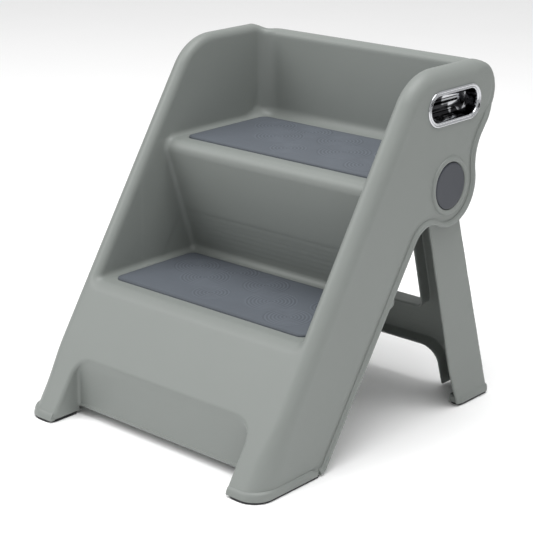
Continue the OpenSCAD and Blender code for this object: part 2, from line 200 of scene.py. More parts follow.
@dataclass(frozen=True)
class Lattice:
    """A box of evenly spaced points that a solid is sampled on."""

    low: tuple[float, float, float]
    high: tuple[float, float, float]
    step: float

    def axes(self) -> tuple[Array, Array, Array]:
        """The coordinates along each axis."""
        return tuple(
            np.arange(lo, hi + self.step, self.step, dtype=np.float32)
            for lo, hi in zip(self.low, self.high)
        )

    def places(self) -> Places:
        """The places of the samples."""
        xs, ys, zs = self.axes()
        return Places(np.abs(xs)[:, None, None], ys[None, :, None], zs[None, None, :])

    def sample(self, values: Array, points: Array) -> Array:
        """Values at any points, by straight-line interpolation in the eight corners round each."""
        g = (points - np.array(self.low)) / self.step
        g = np.clip(g, 0, np.array(values.shape) - 1.001)
        i = g.astype(int)
        f = g - i
        out = np.zeros(len(points))
        for corner in np.ndindex(2, 2, 2):
            c = np.array(corner)
            w = np.prod(np.where(c, f, 1 - f), axis=1)
            j = i + c
            out += w * values[j[:, 0], j[:, 1], j[:, 2]]
        return out

    def slope(self, values: Array, points: Array) -> Array:
        """The gradient at any points: central differences over 0.6 of a step."""
        h = 0.6 * self.step
        parts = []
        for axis in range(3):
            d = np.zeros(3)
            d[axis] = h
            parts.append(self.sample(values, points + d) - self.sample(values, points - d))
        return np.stack(parts, axis=1) / (2 * h)

    def follow(self, values: Array, guides: Sequence[Array], points: Array) -> tuple[Array, Array]:
        """The value and the gradient at each point, from whichever guide has its surface there.

        A thin wall's own samples mix its two faces, so each face is read from the solid that it
        was cut with. Where none of them passes within 0.3, the values themselves are read.

        Args:
            values: the sampled solid.
            guides: samples of the solids that it was made from.
            points: where to read.

        Returns:
            The values, and the gradients as rows.
        """
        sets = [*guides, values]
        read = np.stack([self.sample(v, points) for v in sets])
        miss = np.abs(read)
        miss[-1] += 0.3
        pick = miss.argmin(axis=0)
        value, slope = np.zeros(len(points)), np.zeros((len(points), 3))
        for k, v in enumerate(sets):
            mine = pick == k
            value[mine] = read[k, mine]
            slope[mine] = self.slope(v, points[mine])
        return value, slope

    def skin(self, values: Array, guides: Sequence[Array] = ()) -> tuple[Array, Array]:
        """The surface where the values are zero, as quads, one vertex in each cell it crosses.

        A cell's vertex is the mean of the points where its edges cross zero. Each lattice edge
        that crosses zero gives a quad between the four cells round it. The vertices are then
        moved along the gradient onto the surface.

        Args:
            values: the sampled solid, negative inside.
            guides: samples of the solids that it was made from, negative inside it.

        Returns:
            The points, one a row, and the quads as rows of four indices, facing outwards.
        """
        inside = values < 0
        count = np.zeros(tuple(n - 1 for n in values.shape), np.int8)
        for c in np.ndindex(2, 2, 2):
            count += inside[
                c[0] : inside.shape[0] - 1 + c[0],
                c[1] : inside.shape[1] - 1 + c[1],
                c[2] : inside.shape[2] - 1 + c[2],
            ]
        cells = np.argwhere((count > 0) & (count < 8))
        number = np.full(count.shape, -1, np.int32)
        number[tuple(cells.T)] = np.arange(len(cells))
        total, weight = np.zeros((len(cells), 3)), np.zeros(len(cells))
        for axis in range(3):
            others = [k for k in range(3) if k != axis]
            for c in np.ndindex(2, 2):
                start = np.zeros(3, int)
                start[others] = c
                end = start.copy()
                end[axis] = 1
                a = values[tuple((cells + start).T)]
                b = values[tuple((cells + end).T)]
                crossed = (a < 0) != (b < 0)
                t = np.where(crossed, a / np.where(crossed, a - b, 1), 0)
                point = cells + start + t[:, None] * (end - start)
                total += point * crossed[:, None]
                weight += crossed
        points = np.array(self.low) + total / weight[:, None] * self.step
        quads = []
        for axis in range(3):
            a, b = (axis + 1) % 3, (axis + 2) % 3
            first = np.moveaxis(inside, axis, 0)[:-1]
            second = np.moveaxis(inside, axis, 0)[1:]
            edges = np.argwhere(np.moveaxis(first != second, 0, axis))
            limit = np.array(values.shape) - 1
            within = (edges[:, a] > 0) & (edges[:, a] < limit[a])
            edges = edges[within & (edges[:, b] > 0) & (edges[:, b] < limit[b])]
            corners = []
            for da, db in ((1, 1), (0, 1), (0, 0), (1, 0)):
                j = edges.copy()
                j[:, a] -= da
                j[:, b] -= db
                corners.append(number[tuple(j.T)])
            quad = np.stack(corners, axis=1)
            outward = inside[tuple(edges.T)]
            quads.append(np.where(outward[:, None], quad, quad[:, ::-1]))
        for _ in range(3):
            value, slope = self.follow(values, guides, points)
            size = np.maximum((slope**2).sum(axis=1), 0.2)
            move = -(value / size)[:, None] * slope
            points = points + np.clip(move, -0.4 * self.step, 0.4 * self.step)
        return points, np.concatenate(quads)


def grid_faces(rows: int, columns: int, wrap_rows: bool = False, wrap_columns: bool = False) -> Array:
    """Quads of a grid of points that are numbered row by row.

    Args:
        rows: number of rows of points.
        columns: number of points in a row.
        wrap_rows: whether the last row joins the first.
        wrap_columns: whether each row's last point joins its first.

    Returns:
        Rows of four indices.
    """
    i = np.arange(rows if wrap_rows else rows - 1)[:, None]
    j = np.arange(columns if wrap_columns else columns - 1)[None]
    k, m = (i + 1) % rows, (j + 1) % columns
    corners = [i * columns + j, i * columns + m, k * columns + m, k * columns + j]
    return np.stack(np.broadcast_arrays(*corners), -1).reshape(-1, 4)


class Piece:
    """A mesh object at the origin, in the model's frame."""

    def __init__(self, name: str, points: Array, faces: Array) -> None:
        """Makes the object.

        Args:
            name: the piece's name.
            points: vertices in millimetres, with y from the front feet.
            faces: rows of vertex indices.
        """
        mesh = bpy.data.meshes.new(name)
        place = (np.asarray(points, float) - np.array([0, HALF_DEPTH, 0])) * MM
        mesh.vertices.add(len(place))
        mesh.vertices.foreach_set("co", place.astype(np.float32).ravel())
        faces = np.asarray(faces)
        width = faces.shape[1]
        mesh.loops.add(faces.size)
        mesh.loops.foreach_set("vertex_index", faces.astype(np.int32).ravel())
        mesh.polygons.add(len(faces))
        mesh.polygons.foreach_set("loop_start", np.arange(0, faces.size, width, dtype=np.int32))
        mesh.update(calc_edges=True)
        mesh.validate()
        self.object = bpy.data.objects.new(name, mesh)
        bpy.context.scene.collection.objects.link(self.object)
        self.smooth(180)

    def smooth(self, angle: float) -> "Piece":
        """Shades the piece smooth, with edges sharper than the angle left hard."""
        mesh = self.object.data
        mesh.polygons.foreach_set("use_smooth", np.ones(len(mesh.polygons), bool))
        if angle < 180:
            mesh.set_sharp_from_angle(angle=math.radians(angle))
        return self

    def modify(self, kind: str, **settings: Any) -> "Piece":
        """Adds a modifier and applies it.

        Args:
            kind: the modifier's type.
            **settings: the modifier's settings.

        Returns:
            The piece.
        """
        modifier = self.object.modifiers.new(kind.lower(), kind)
        for key, value in settings.items():
            setattr(modifier, key, value)
        graph = bpy.context.evaluated_depsgraph_get()
        mesh = bpy.data.meshes.new_from_object(self.object.evaluated_get(graph))
        self.object.modifiers.clear()
        old, self.object.data = self.object.data, mesh
        mesh.name = self.object.name
        bpy.data.meshes.remove(old)
        return self

    def thin(self, limit: int) -> "Piece":
        """Merges flat areas until the piece has no more triangles than the limit."""
        mesh = self.object.data
        triangles = sum(len(p.vertices) - 2 for p in mesh.polygons)
        if triangles > limit:
            self.modify("DECIMATE", decimate_type="COLLAPSE", ratio=limit / triangles)
        return self

    def shade_from(self, lattice: Lattice, values: Array, guides: Sequence[Array] = ()) -> "Piece":
        """Takes the shading normals from a sampled solid's gradient.

        Args:
            lattice: where the solid was sampled.
            values: the samples.
            guides: samples of the solids that it was made from.

        Returns:
            The piece.
        """
        mesh = self.object.data
        co = np.empty(len(mesh.vertices) * 3, np.float32)
        mesh.vertices.foreach_get("co", co)
        points = co.reshape(-1, 3).astype(float) / MM + np.array([0, HALF_DEPTH, 0])
        normals = lattice.follow(values, guides, points)[1]
        normals /= np.maximum(np.linalg.norm(normals, axis=1, keepdims=True), 1e-9)
        mesh.normals_split_custom_set_from_vertices(normals.tolist())
        return self

    def finish(self, material: bpy.types.Material, body: Body, slot: str, *nodes: str) -> "Piece":
        """Dresses the piece, puts it on its body and hides the CAD nodes that it replaces.

        Args:
            material: the finish.
            body: the body it moves with.
            slot: not used.
            *nodes: the CAD nodes it replaces.

        Returns:
            The piece.
        """
        self.object.data.materials.clear()
        self.object.data.materials.append(material)
        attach(self.object, body.value)
        if nodes:
            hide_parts(*nodes)
        LOG.info("%s: %d faces on %s", self.object.name, len(self.object.data.polygons), body.value)
        return self


def lathe(name: str, profile: Array, centre: Sequence[float], side: Side, turns: int = 96) -> Piece:
    """A profile turned about an axis along X: (x, centre_y + r cos a, centre_z + r sin a).

    Args:
        name: the piece's name.
        profile: rows of (x, r), from the inner end to the outer end and closed at r = 0 or on itself.
        centre: (y, z) of the axis.
        side: which side of the stool it is on.
        turns: number of steps round.

    Returns:
        The piece.
    """
    a = np.linspace(0, 2 * np.pi, turns, endpoint=False)[:, None]
    closed = bool(np.allclose(profile[0], profile[-1]))
    line = profile[:-1] if closed else profile
    x = np.broadcast_to(line[None, :, 0], (turns, len(line)))
    r = line[None, :, 1]
    points = np.stack([x, centre[0] + r * np.cos(a), centre[1] + r * np.sin(a)], -1).reshape(-1, 3)
    faces = grid_faces(turns, len(line), True, closed)
    points[:, 0] *= side.value
    piece = Piece(name, points, faces if side is Side.RIGHT else faces[:, ::-1])
    return mend(piece)


@contextmanager
def editing(piece: Piece) -> Iterator[bmesh.types.BMesh]:
    """Opens a piece's mesh for bmesh's tools, then writes it back with its faces turned outwards."""
    mesh = piece.object.data
    work = bmesh.new()
    work.from_mesh(mesh)
    yield work
    bmesh.ops.recalc_face_normals(work, faces=work.faces)
    work.to_mesh(mesh)
    work.free()
    mesh.update()


def mend(piece: Piece) -> Piece:
    """Merges doubled points and drops faces without area."""
    with editing(piece) as work:
        bmesh.ops.remove_doubles(work, verts=work.verts, dist=1e-6)
        bmesh.ops.dissolve_degenerate(work, edges=work.edges, dist=1e-7)
    return piece


def close_ends(piece: Piece) -> Piece:
    """Fills every open loop of a piece with one face."""
    with editing(piece) as work:
        bmesh.ops.holes_fill(work, edges=[e for e in work.edges if e.is_boundary], sides=0)
    return piece.smooth(180)


def resample(path: Array, step: float) -> Array:
    """Spreads points evenly along a path.

    Args:
        path: the path's points, one a row.
        step: about how far apart the new ones are.

    Returns:
        The new points, both ends included.
    """
    length = np.concatenate([[0], np.cumsum(np.linalg.norm(np.diff(path, axis=0), axis=1))])
    keep = np.concatenate([[True], np.diff(length) > 1e-6])
    at = np.linspace(0, length[-1], int(length[-1] / step) + 2)
    return np.stack([np.interp(at, length[keep], path[keep, k]) for k in range(path.shape[1])], axis=1)


def right_of(path: Array, closed: bool = False) -> Array:
    """Unit vectors to the right of a path, at each of its points.

    Args:
        path: the points, one a row.
        closed: whether the last point joins the first.

    Returns:
        One vector a row.
    """
    if closed:
        ahead = np.roll(path, -1, axis=0) - np.roll(path, 1, axis=0)
    else:
        ahead = np.gradient(path, axis=0)
    ahead /= np.maximum(np.linalg.norm(ahead, axis=1, keepdims=True), 1e-9)
    return np.stack([ahead[:, 1], -ahead[:, 0]], axis=1)


def bar(name: str, points: Array) -> Piece:
    """A solid bar through loops of points.

    Args:
        name: the piece's name.
        points: closed loops, one a row; the first and the last are filled.

    Returns:
        The piece.
    """
    rows, columns = points.shape[:2]
    return close_ends(mend(Piece(name, points.reshape(-1, 3), grid_faces(rows, columns, False, True))))


# ---------------------------------------------------------------- materials


class Sock:
    """A node's output that Python's operators work on, by adding Math nodes."""

    def __init__(self, kit: "Shader", socket: Any) -> None:
        self.kit = kit
        self.socket = socket

    def _math(self, operation: str, *values: Any) -> "Sock":
        """A Math node on the values."""
        return self.kit.add("ShaderNodeMath", {"operation": operation}, dict(enumerate(values)))

    def __add__(self, other: Any) -> "Sock":
        """self + other."""
        return self._math("ADD", self, other)

    def __radd__(self, other: Any) -> "Sock":
        """other + self."""
        return self._math("ADD", other, self)

    def __sub__(self, other: Any) -> "Sock":
        """self - other."""
        return self._math("SUBTRACT", self, other)

    def __rsub__(self, other: Any) -> "Sock":
        """other - self."""
        return self._math("SUBTRACT", other, self)

    def __mul__(self, other: Any) -> "Sock":
        """self times other."""
        return self._math("MULTIPLY", self, other)

    def __rmul__(self, other: Any) -> "Sock":
        """other times self."""
        return self._math("MULTIPLY", other, self)


class Shader:
    """A material's node tree with one principled shader."""

    def __init__(self, name: str, **constants: Any) -> None:
        """Makes the material.

        Args:
            name: the material's name.
            **constants: values of the shader's own sockets, with _ for a space.
        """
        self.material = bpy.data.materials.new(name)
        self.material.use_nodes = True
        self.tree = self.material.node_tree
        self.tree.nodes.clear()
        inputs = {key.replace("_", " "): value for key, value in constants.items()}
        self.shader = self.node("ShaderNodeBsdfPrincipled", {}, inputs)
        self.node("ShaderNodeOutputMaterial", {}, {"Surface": Sock(self, self.shader.outputs[0])})
        self.place = self.add("ShaderNodeTexCoord", {}, {}, "Object")

    def node(self, kind: str, settings: dict[str, Any], inputs: dict[Any, Any]) -> Any:
        """Makes a node.

        Args:
            kind: the node's type.
            settings: attributes that are set first; "stops" fills a ramp.
            inputs: values or links by socket name or number.

        Returns:
            The node.
        """
        node = self.tree.nodes.new(kind)
        for key, value in settings.items():
            if key == "stops":
                ramp = node.color_ramp.elements
                while len(ramp) < len(value):
                    ramp.new(0.5)
                for element, (place, colour) in zip(ramp, value):
                    element.position = place
                    element.color = (*colour, 1)
            else:
                setattr(node, key, value)
        for key, value in inputs.items():
            socket = node.inputs[key]
            if isinstance(value, Sock):
                self.tree.links.new(value.socket, socket)
            else:
                socket.default_value = value
        return node

    def add(self, kind: str, settings: dict[str, Any], inputs: dict[Any, Any], output: Any = 0) -> Sock:
        """Makes a node and wraps the output of that name or number."""
        return Sock(self, self.node(kind, settings, inputs).outputs[output])

    def noise(self, scale: float, detail: float = 2.0, roughness: float = 0.5) -> Sock:
        """Noise over Object coordinates, in features per metre."""
        inputs = {"Vector": self.place, "Scale": scale, "Detail": detail, "Roughness": roughness}
        return self.add("ShaderNodeTexNoise", {}, inputs)

    def between(self, factor: Sock, low: Any, high: Any) -> Sock:
        """A colour mixed from two, each of them three numbers or another node's output.

        Args:
            factor: 0 for the first colour, 1 for the second.
            low: the first colour.
            high: the second colour.

        Returns:
            The mixed colour.
        """
        first, second = (v if isinstance(v, Sock) else (*v, 1) for v in (low, high))
        return self.add("ShaderNodeMix", {"data_type": "RGBA"}, {0: factor, 6: first, 7: second}, 2)

    def bump(self, height: Sock, strength: float, distance: float) -> None:
        """Feeds a height through a Bump node into the shader's Normal."""
        inputs = {"Height": height, "Strength": strength, "Distance": distance}
        self.feed("Normal", self.add("ShaderNodeBump", {}, inputs))

    def feed(self, name: str, value: Sock) -> None:
        """Links a value to one of the shader's sockets."""
        self.tree.links.new(value.socket, self.shader.inputs[name])


@dataclass(frozen=True)
class MouldedPlastic:
    """Satin moulded plastic with a fine spark-eroded grain."""

    name: str
    colour: tuple[float, float, float]
    roughness: float = 0.46
    grain: float = 1500.0
    grain_height: float = 0.00012
    spread: float = 0.03

    def build(self) -> bpy.types.Material:
        """The material."""
        s = Shader(self.name, Specular_IOR_Level=0.42)
        cloud = s.noise(14.0, 3.0)
        low = tuple(c * (1 - self.spread) for c in self.colour)
        high = tuple(c * (1 + self.spread) for c in self.colour)
        s.feed("Base Color", s.between(cloud, low, high))
        scuff = s.noise(55.0, 4.0, 0.6)
        s.feed("Roughness", self.roughness - 0.06 + 0.12 * (scuff * 0.6 + cloud * 0.4))
        s.bump(s.noise(self.grain, 2.0, 0.55), 0.22, self.grain_height)
        return s.material


@dataclass(frozen=True)
class MouldedRubber:
    """Matt rubber with a dusty bloom, and painted highlights on the crests of raised rings."""

    name: str
    colour: tuple[float, float, float]
    roughness: float = 0.62
    grain: float = 2200.0
    # How strongly the ring attribute lightens the colour: a painted highlight on the ring crests.
    ring_painted_light: float = 0.75

    def build(self) -> bpy.types.Material:
        """The material."""
        s = Shader(self.name, Specular_IOR_Level=0.35)
        cloud = s.noise(22.0, 4.0, 0.6)
        dust = s.noise(160.0, 5.0, 0.65)
        low = tuple(c * 0.86 for c in self.colour)
        high = tuple(c * 1.55 for c in self.colour)
        # Painted light: the colour is lighter where the ring attribute is high, on the crests of the pads'
        # raised rings, and darker in the troughs between them.
        ring = s.add("ShaderNodeAttribute", {"attribute_name": "ring"}, {}, "Fac")
        s.feed("Base Color", s.between(cloud * 0.35 + dust * 0.25 + ring * self.ring_painted_light, low, high))
        s.feed("Roughness", self.roughness - 0.08 + 0.16 * dust - 0.12 * ring)
        s.bump(s.noise(self.grain, 3.0, 0.6), 0.3, 0.00012)
        return s.material


@dataclass(frozen=True)
class PlatedMetal:
    """Bright plating or zinc, with faint waves from the part under it.

    Inside a deep cup, where the plating mostly mirrors the cup's own dark walls, its colour falls
    to the deep colour in broad patches, a painted dark reflection.
    """

    name: str
    colour: tuple[float, float, float]
    # deep is the painted dark reflection colour for inside a cup, or None; the x span further down sets where
    # that painted reflection fades in towards the cup's bottom.
    deep: tuple[float, float, float] | None = None
    roughness: float = 0.07
    wave: float = 60.0
    wave_height: float = 0.0006
    painted_reflection_x: tuple[float, float] = (0.1935, 0.197)

    def build(self) -> bpy.types.Material:
        """The material."""
        s = Shader(self.name, Metallic=1.0)
        cloud = s.noise(90.0, 3.0)
        low = tuple(c * 0.96 for c in self.colour)
        bright = s.between(cloud, low, self.colour)
        # Painted dark reflection: towards the cup's bottom, in broad noise patches, the base colour falls to
        # the deep colour.
        if self.deep is not None:
            out = s.add("ShaderNodeSeparateXYZ", {}, {"Vector": s.place}, "X")
            out = s.add("ShaderNodeMath", {"operation": "ABSOLUTE"}, {0: out})
            sides = {"From Min": self.painted_reflection_x[0], "From Max": self.painted_reflection_x[1], "To Min": 1.0, "To Max": 0.0,
                     "Value": out}
            inside = s.add("ShaderNodeMapRange", {}, sides)
            patch = s.add("ShaderNodeValToRGB", {"stops": [(0.49, (0, 0, 0)), (0.53, (1, 1, 1))]},
                          {"Fac": s.noise(42.0, 1.0)})
            bright = s.between(inside * patch, bright, self.deep)
        s.feed("Base Color", bright)
        smear = s.noise(240.0, 4.0, 0.6)
        s.feed("Roughness", self.roughness * 0.6 + smear * (self.roughness * 0.8))
        s.bump(s.noise(self.wave, 1.0), 0.25, self.wave_height)
        return s.material


# ---------------------------------------------------------------- sizes


@dataclass(frozen=True)
class WallSizes:
    """Sizes of the side walls, in millimetres and degrees."""

    height: float = 449.7
    sole: float = 2.5
    front_lean: float = 32.94
    rear_lean: float = 34.3
    upper_lean: float = 38.0
    front_radius: float = 73.0
    lobe_radius: float = 39.0
    lobe_y: float = 406.4
    waist_radius: float = 60.0
    under_radius: float = 34.0
    heel_radius: float = 14.0
    rear_edge_y: float = 119.0
    inner_x: float = 172.0
    face_x: float = 197.0
    lip_x: float = 199.9
    hinge: tuple[float, float] = (354.4, 303.0)
    bulge_radius: float = 51.5


@dataclass(frozen=True)
class StairSizes:
    """Sizes of the two treads, the riser and the back wall."""

    lower: float = 160.0
    upper: float = 322.0
    nose_radius: float = 12.5
    riser_y: float = 284.4
    riser_lean: float = 18.5
    riser_fillet: float = 8.0
    back_y: float = 428.4
    back_fillet: float = 14.0
    rim_radius: float = 10.0
    back_height: float = 443.0
    back_skin: float = 394.0


@dataclass(frozen=True)
class RecessSizes:
    """Sizes of the recess between the front feet."""

    half_width: float = 149.0
    height: float = 77.0
    radius: float = 25.0
    depth: float = 48.4
    lower_edge: float = 11.0


class SideOutline:
    """The side walls' outline, made of straight edges and circles that touch."""

    def __init__(self, size: WallSizes) -> None:
        """Works out the circles' centres."""
        self.size = size
        f, r, u = (math.radians(a) for a in (size.front_lean, size.rear_lean, size.upper_lean))
        hinge = np.array(size.hinge)
        top = size.height - size.front_radius
        self.toe_radius = 6.0
        self.toe = np.array([(self.toe_radius * math.sin(f) + self.toe_radius) / math.cos(f),
                             size.sole + self.toe_radius])
        self.front_top = np.array([((top - size.sole) * math.sin(f) + size.front_radius) / math.cos(f), top])
        self.lobe = np.array([size.lobe_y, size.height - size.lobe_radius])
        rear = np.array([math.cos(r), -math.sin(r)])
        upper = np.array([math.cos(u), -math.sin(u)])
        away = upper @ self.lobe + size.lobe_radius + size.waist_radius - upper @ hinge
        reach = size.bulge_radius + size.waist_radius
        self.waist = hinge + away * upper + math.sqrt(reach**2 - away**2) * np.array([-upper[1], upper[0]])
        rear_c = rear[0] * size.rear_edge_y
        away = rear_c + size.under_radius - rear @ hinge
        reach = size.bulge_radius + size.under_radius
        self.under = hinge + away * rear - math.sqrt(reach**2 - away**2) * np.array([-rear[1], rear[0]])
        heel_z = size.sole + size.heel_radius
        self.heel = np.array([(rear_c - size.heel_radius + heel_z * math.sin(r)) / math.cos(r), heel_z])
        self.waist_angle = math.degrees(math.atan2(*(self.waist - hinge)[::-1]))
        self.under_angle = math.degrees(math.atan2(*(self.under - hinge)[::-1]))

    def rear(self) -> Array:
        """The outline from the lobe's top down the rear to the bottom edge."""
        s = self.size
        return np.concatenate([
            arc(self.lobe, s.lobe_radius, 90, -s.upper_lean),
            arc(self.waist, s.waist_radius, 180 - s.upper_lean, 180 + self.waist_angle),
            arc(s.hinge, s.bulge_radius, self.waist_angle, self.under_angle),
            arc(self.under, s.under_radius, 180 + self.under_angle, 180 - s.rear_lean),
            arc(self.heel, s.heel_radius, -s.rear_lean, -90),
        ])

    def whole(self) -> Array:
        """The whole closed outline."""
        s = self.size
        toe = arc(self.toe, self.toe_radius, 270, 180 - s.front_lean)
        front = arc(self.front_top, s.front_radius, 180 - s.front_lean, 90)
        return np.concatenate([toe, front, self.rear()])

    def footless(self) -> Array:
        """The outline with its front and rear edges run on below the floor."""
        s, low = self.size, -60.0
        front = arc(self.front_top, s.front_radius, 180 - s.front_lean, 90)
        start = [(low - s.sole) * math.tan(math.radians(s.front_lean)), low]
        end = [s.rear_edge_y + low * math.tan(math.radians(s.rear_lean)), low]
        keep = self.rear()[: -len(arc(self.heel, s.heel_radius, -s.rear_lean, -90))]
        return np.concatenate([[start], front, keep, [end]])


def stair_line(size: StairSizes) -> Array:
    """The walking surfaces from far in front, over both treads, to the back wall's crest."""
    lean = math.radians(size.riser_lean)
    normal = np.array([-math.cos(lean), -math.sin(lean)])
    c = normal @ np.array([size.riser_y, size.lower])
    low_z, nose_z = size.lower + size.riser_fillet, size.upper - size.nose_radius
    corner = [-(c + size.riser_fillet + low_z * math.sin(lean)) / math.cos(lean), low_z]
    nose = [-(c - size.nose_radius + nose_z * math.sin(lean)) / math.cos(lean), nose_z]
    back = [size.back_y - size.back_fillet, size.upper + size.back_fillet]
    rim = [size.back_y + size.rim_radius, size.back_height - size.rim_radius]
    return np.concatenate([
        [[-80.0, size.lower]],
        arc(corner, size.riser_fillet, 270, 360 + size.riser_lean),
        arc(nose, size.nose_radius, 180 + size.riser_lean, 90),
        arc(back, size.back_fillet, 270, 360),
        arc(rim, size.rim_radius, 180, 90),
    ])


# ---------------------------------------------------------------- shell


@dataclass(frozen=True)
class EdgeSizes:
    """Rounding of the shell's outer edges, with the zones over which it fades, and the lip's groove."""

    least: float = 4.0
    front_and_top: float = 13.0
    front_foot: float = 8.0
    front_zone: tuple[float, float] = (40.0, 90.0)
    top_zone: tuple[float, float] = (345.0, 400.0)
    lobe_zone: tuple[float, float] = (404.0, 434.0)
    foot_zone: tuple[float, float] = (30.0, 90.0)
    groove_depth: float = 1.1
    groove_inset: float = 7.9
    groove_width: float = 2.4
    groove_zone: tuple[float, float] = (395.0, 430.0)


@dataclass(frozen=True)
class HoleSizes:
    """The leg's slot in a side wall, the hinge cover's pocket, the bolt's hole and the grip's hole."""

    slot_radius: float = 46.0
    slot_x: float = 183.6
    slot_half: float = 7.8
    pocket_radius: float = 32.0
    pocket_x: float = 186.0
    bolt_radius: float = 5.6
    bolt_x: float = 168.0
    grip_inset: float = 4.2
    grip_x: float = 179.0


class Shell:
    """The one-piece moulding: two double side walls, treads, riser, back wall and front recess."""

    def __init__(self, wall: WallSizes, stair: StairSizes, recess: RecessSizes) -> None:
        """Keeps the sizes and the side outline."""
        self.wall, self.stair, self.recess = wall, stair, recess
        self.outline = SideOutline(wall)
        self.skin_depth = 3.8

    def lattice(self) -> Lattice:
        """The lattice the moulding is sampled on."""
        return Lattice((-203.75, -6.0, -4.0), (203.75, 456.0, 456.0), detail(2.5, 5.0))

    def front_plane(self, at: Places) -> Array:
        """Signed distance to the leaning front plane, negative behind it."""
        lean = math.radians(self.wall.front_lean)
        return -at.y * math.cos(lean) + (at.z - self.wall.sole) * math.sin(lean)

    def outside(self, at: Places, front: Array) -> Array:
        """The block of the side outline, run across the width and with its edges rounded.

        Args:
            at: where to sample.
            front: distance to the front plane.

        Returns:
            The samples.
        """
        e = EdgeSizes()
        near_front = 1 - smooth_step(*e.front_zone, -front)
        near_top = smooth_step(*e.top_zone, at.z) * (1 - smooth_step(*e.lobe_zone, at.y))
        foot = 1 - smooth_step(*e.foot_zone, at.z)
        soft = e.least + e.front_and_top * np.maximum(near_front, near_top) + e.front_foot * near_front * foot
        long = at.side_view(self.outline.footless())
        true = at.side_view(self.outline.whole())
        groove = e.groove_depth * np.exp(-(((true + e.groove_inset) / e.groove_width) ** 2))
        groove = groove * (1 - near_front) * (1 - smooth_step(*e.groove_zone, at.z))
        return np.maximum(round_both(long, at.across - self.wall.face_x + groove, soft), true)

    def below_stairs(self, at: Places) -> Array:
        """What lies under the treads, the riser and the back wall's top, far out on every other side."""
        margin = [[650.0, self.stair.back_height], [650.0, -90.0]]
        return at.side_view(np.concatenate([[[-80.0, -90.0]], stair_line(self.stair), margin]))

    def back_plane(self, at: Places) -> Array:
        """The back wall's section in the side view: a rounded rim over a leaning skin."""
        s = self.stair
        rim = [s.back_y + s.rim_radius, s.back_height - s.rim_radius]
        return at.side_view(np.concatenate([[[372.0, 306.0], [428.0, 306.0], [448.4, 330.0]],
                                            arc(rim, s.rim_radius, 0, 90), [[372.0, s.back_height]]]))

    def recess_room(self, at: Places) -> Array:
        """The room of the recess between the front feet."""
        r = self.recess
        return round_both(round_both(at.across - r.half_width, at.z - r.height, r.radius), at.y - r.depth, 4)

    def hollow(self, at: Places, front: Array, below: Array, back: Array, recess: Array) -> Array:
        """The underside's hollow, less its ribs.

        Args:
            at: where to sample.
            front: distance to the front plane.
            below: the solid under the stairs.
            back: the back wall's section.
            recess: the recess's room.

        Returns:
            The samples.
        """
        w, s, r, t = self.wall, self.stair, self.recess, self.skin_depth
        hollow = round_both(below + t, front + t, 12)
        hollow = round_both(hollow, at.across - (w.inner_x - t + 0.5), 8)
        hollow = np.maximum(hollow, np.minimum(back + t, at.z - s.back_skin))
        hollow = np.maximum(hollow, t - recess)
        hollow = np.maximum(hollow, -np.maximum(at.y - (r.depth + t), at.z - 6.5))
        rib_x, rib_half, rib_height, rib_front = 80.0, 2.0, 12, 130
        ribs = np.minimum(np.abs(at.across - rib_x), at.across) - rib_half
        ribs = np.maximum(ribs, np.maximum(-below - rib_height, rib_front - at.y))
        return np.maximum(hollow, -np.maximum(ribs, at.z - s.upper))

    def pierce(self, at: Places, solid: Array) -> Array:
        """Takes the hinge's slot, pocket and bolt hole and the grip's hole out of a solid.

        Args:
            at: where to sample.
            solid: the solid's samples.

        Returns:
            The samples of what is left.
        """
        w, h, grip = self.wall, HoleSizes(), GripSizes()
        turn = np.hypot(at.y - w.hinge[0], at.z - w.hinge[1])
        way = at.side_view(np.array([[307.0, 303.0], [425.0, 303.0], [425.0, 215.0], [276.0, 215.0]]))
        slot = np.minimum(turn - h.slot_radius, way)
        slot = np.maximum(slot, np.abs(at.across - h.slot_x) - h.slot_half)
        solid = np.maximum(solid, -slot)
        solid = np.maximum(solid, -np.maximum(turn - h.pocket_radius, h.pocket_x - at.across))
        solid = np.maximum(solid, -np.maximum(turn - h.bolt_radius, h.bolt_x - at.across))
        along = np.maximum(np.abs(at.y - grip.centre[0]) - grip.straight / 2, 0)
        hole = np.hypot(along, at.z - grip.centre[1]) - (grip.height / 2 - h.grip_inset)
        return np.maximum(solid, -np.maximum(hole, h.grip_x - at.across))

    def field(self, lattice: Lattice) -> tuple[Array, list[Array]]:
        """Samples the moulding, negative inside.

        The outside is the side outline run across the width, with large soft edges at the front
        and the top. The room over the treads is taken out of it. Then the skins of the treads
        and the back wall are added, and the recess, the underside's hollow and the holes are
        taken out.

        Args:
            lattice: where to sample.

        Returns:
            The samples, and those of the solids that it is made from.
        """
        s, r, depth = self.stair, self.recess, self.skin_depth
        at = lattice.places()
        front, below, back = self.front_plane(at), self.below_stairs(at), self.back_plane(at)
        corner = 7 + 17 * smooth_step(385, 428, at.y)
        room = round_both(-below, at.across - self.wall.inner_x, corner)

        back_box = round_both(back, at.across - 180, 22)
        sharp = smooth_step(408, 424, at.y) * smooth_step(385, 405, at.z)
        inner = 10 - 8.5 * sharp * (1 - smooth_step(148, 168, at.across))
        mass = round_both(smooth_either(self.outside(at, front), back_box, 8), -room, inner)
        skin = np.maximum(np.maximum(room - depth, -room), np.maximum(190 - at.y, at.z - (s.upper - 1)))
        solid = smooth_either(mass, np.maximum(skin, front + 12), 1.5)

        recess = self.recess_room(at)
        solid = round_both(solid, -recess, 5)
        solid = np.maximum(solid, -np.maximum(at.across - r.half_width, at.z - r.lower_edge))

        hollow = self.hollow(at, front, below, back, recess)
        guides = [v.astype(np.float32) for v in (solid, -hollow, -room)]
        solid = self.pierce(at, np.maximum(solid, -hollow))
        return np.maximum(solid, self.wall.sole - at.z).astype(np.float32), guides

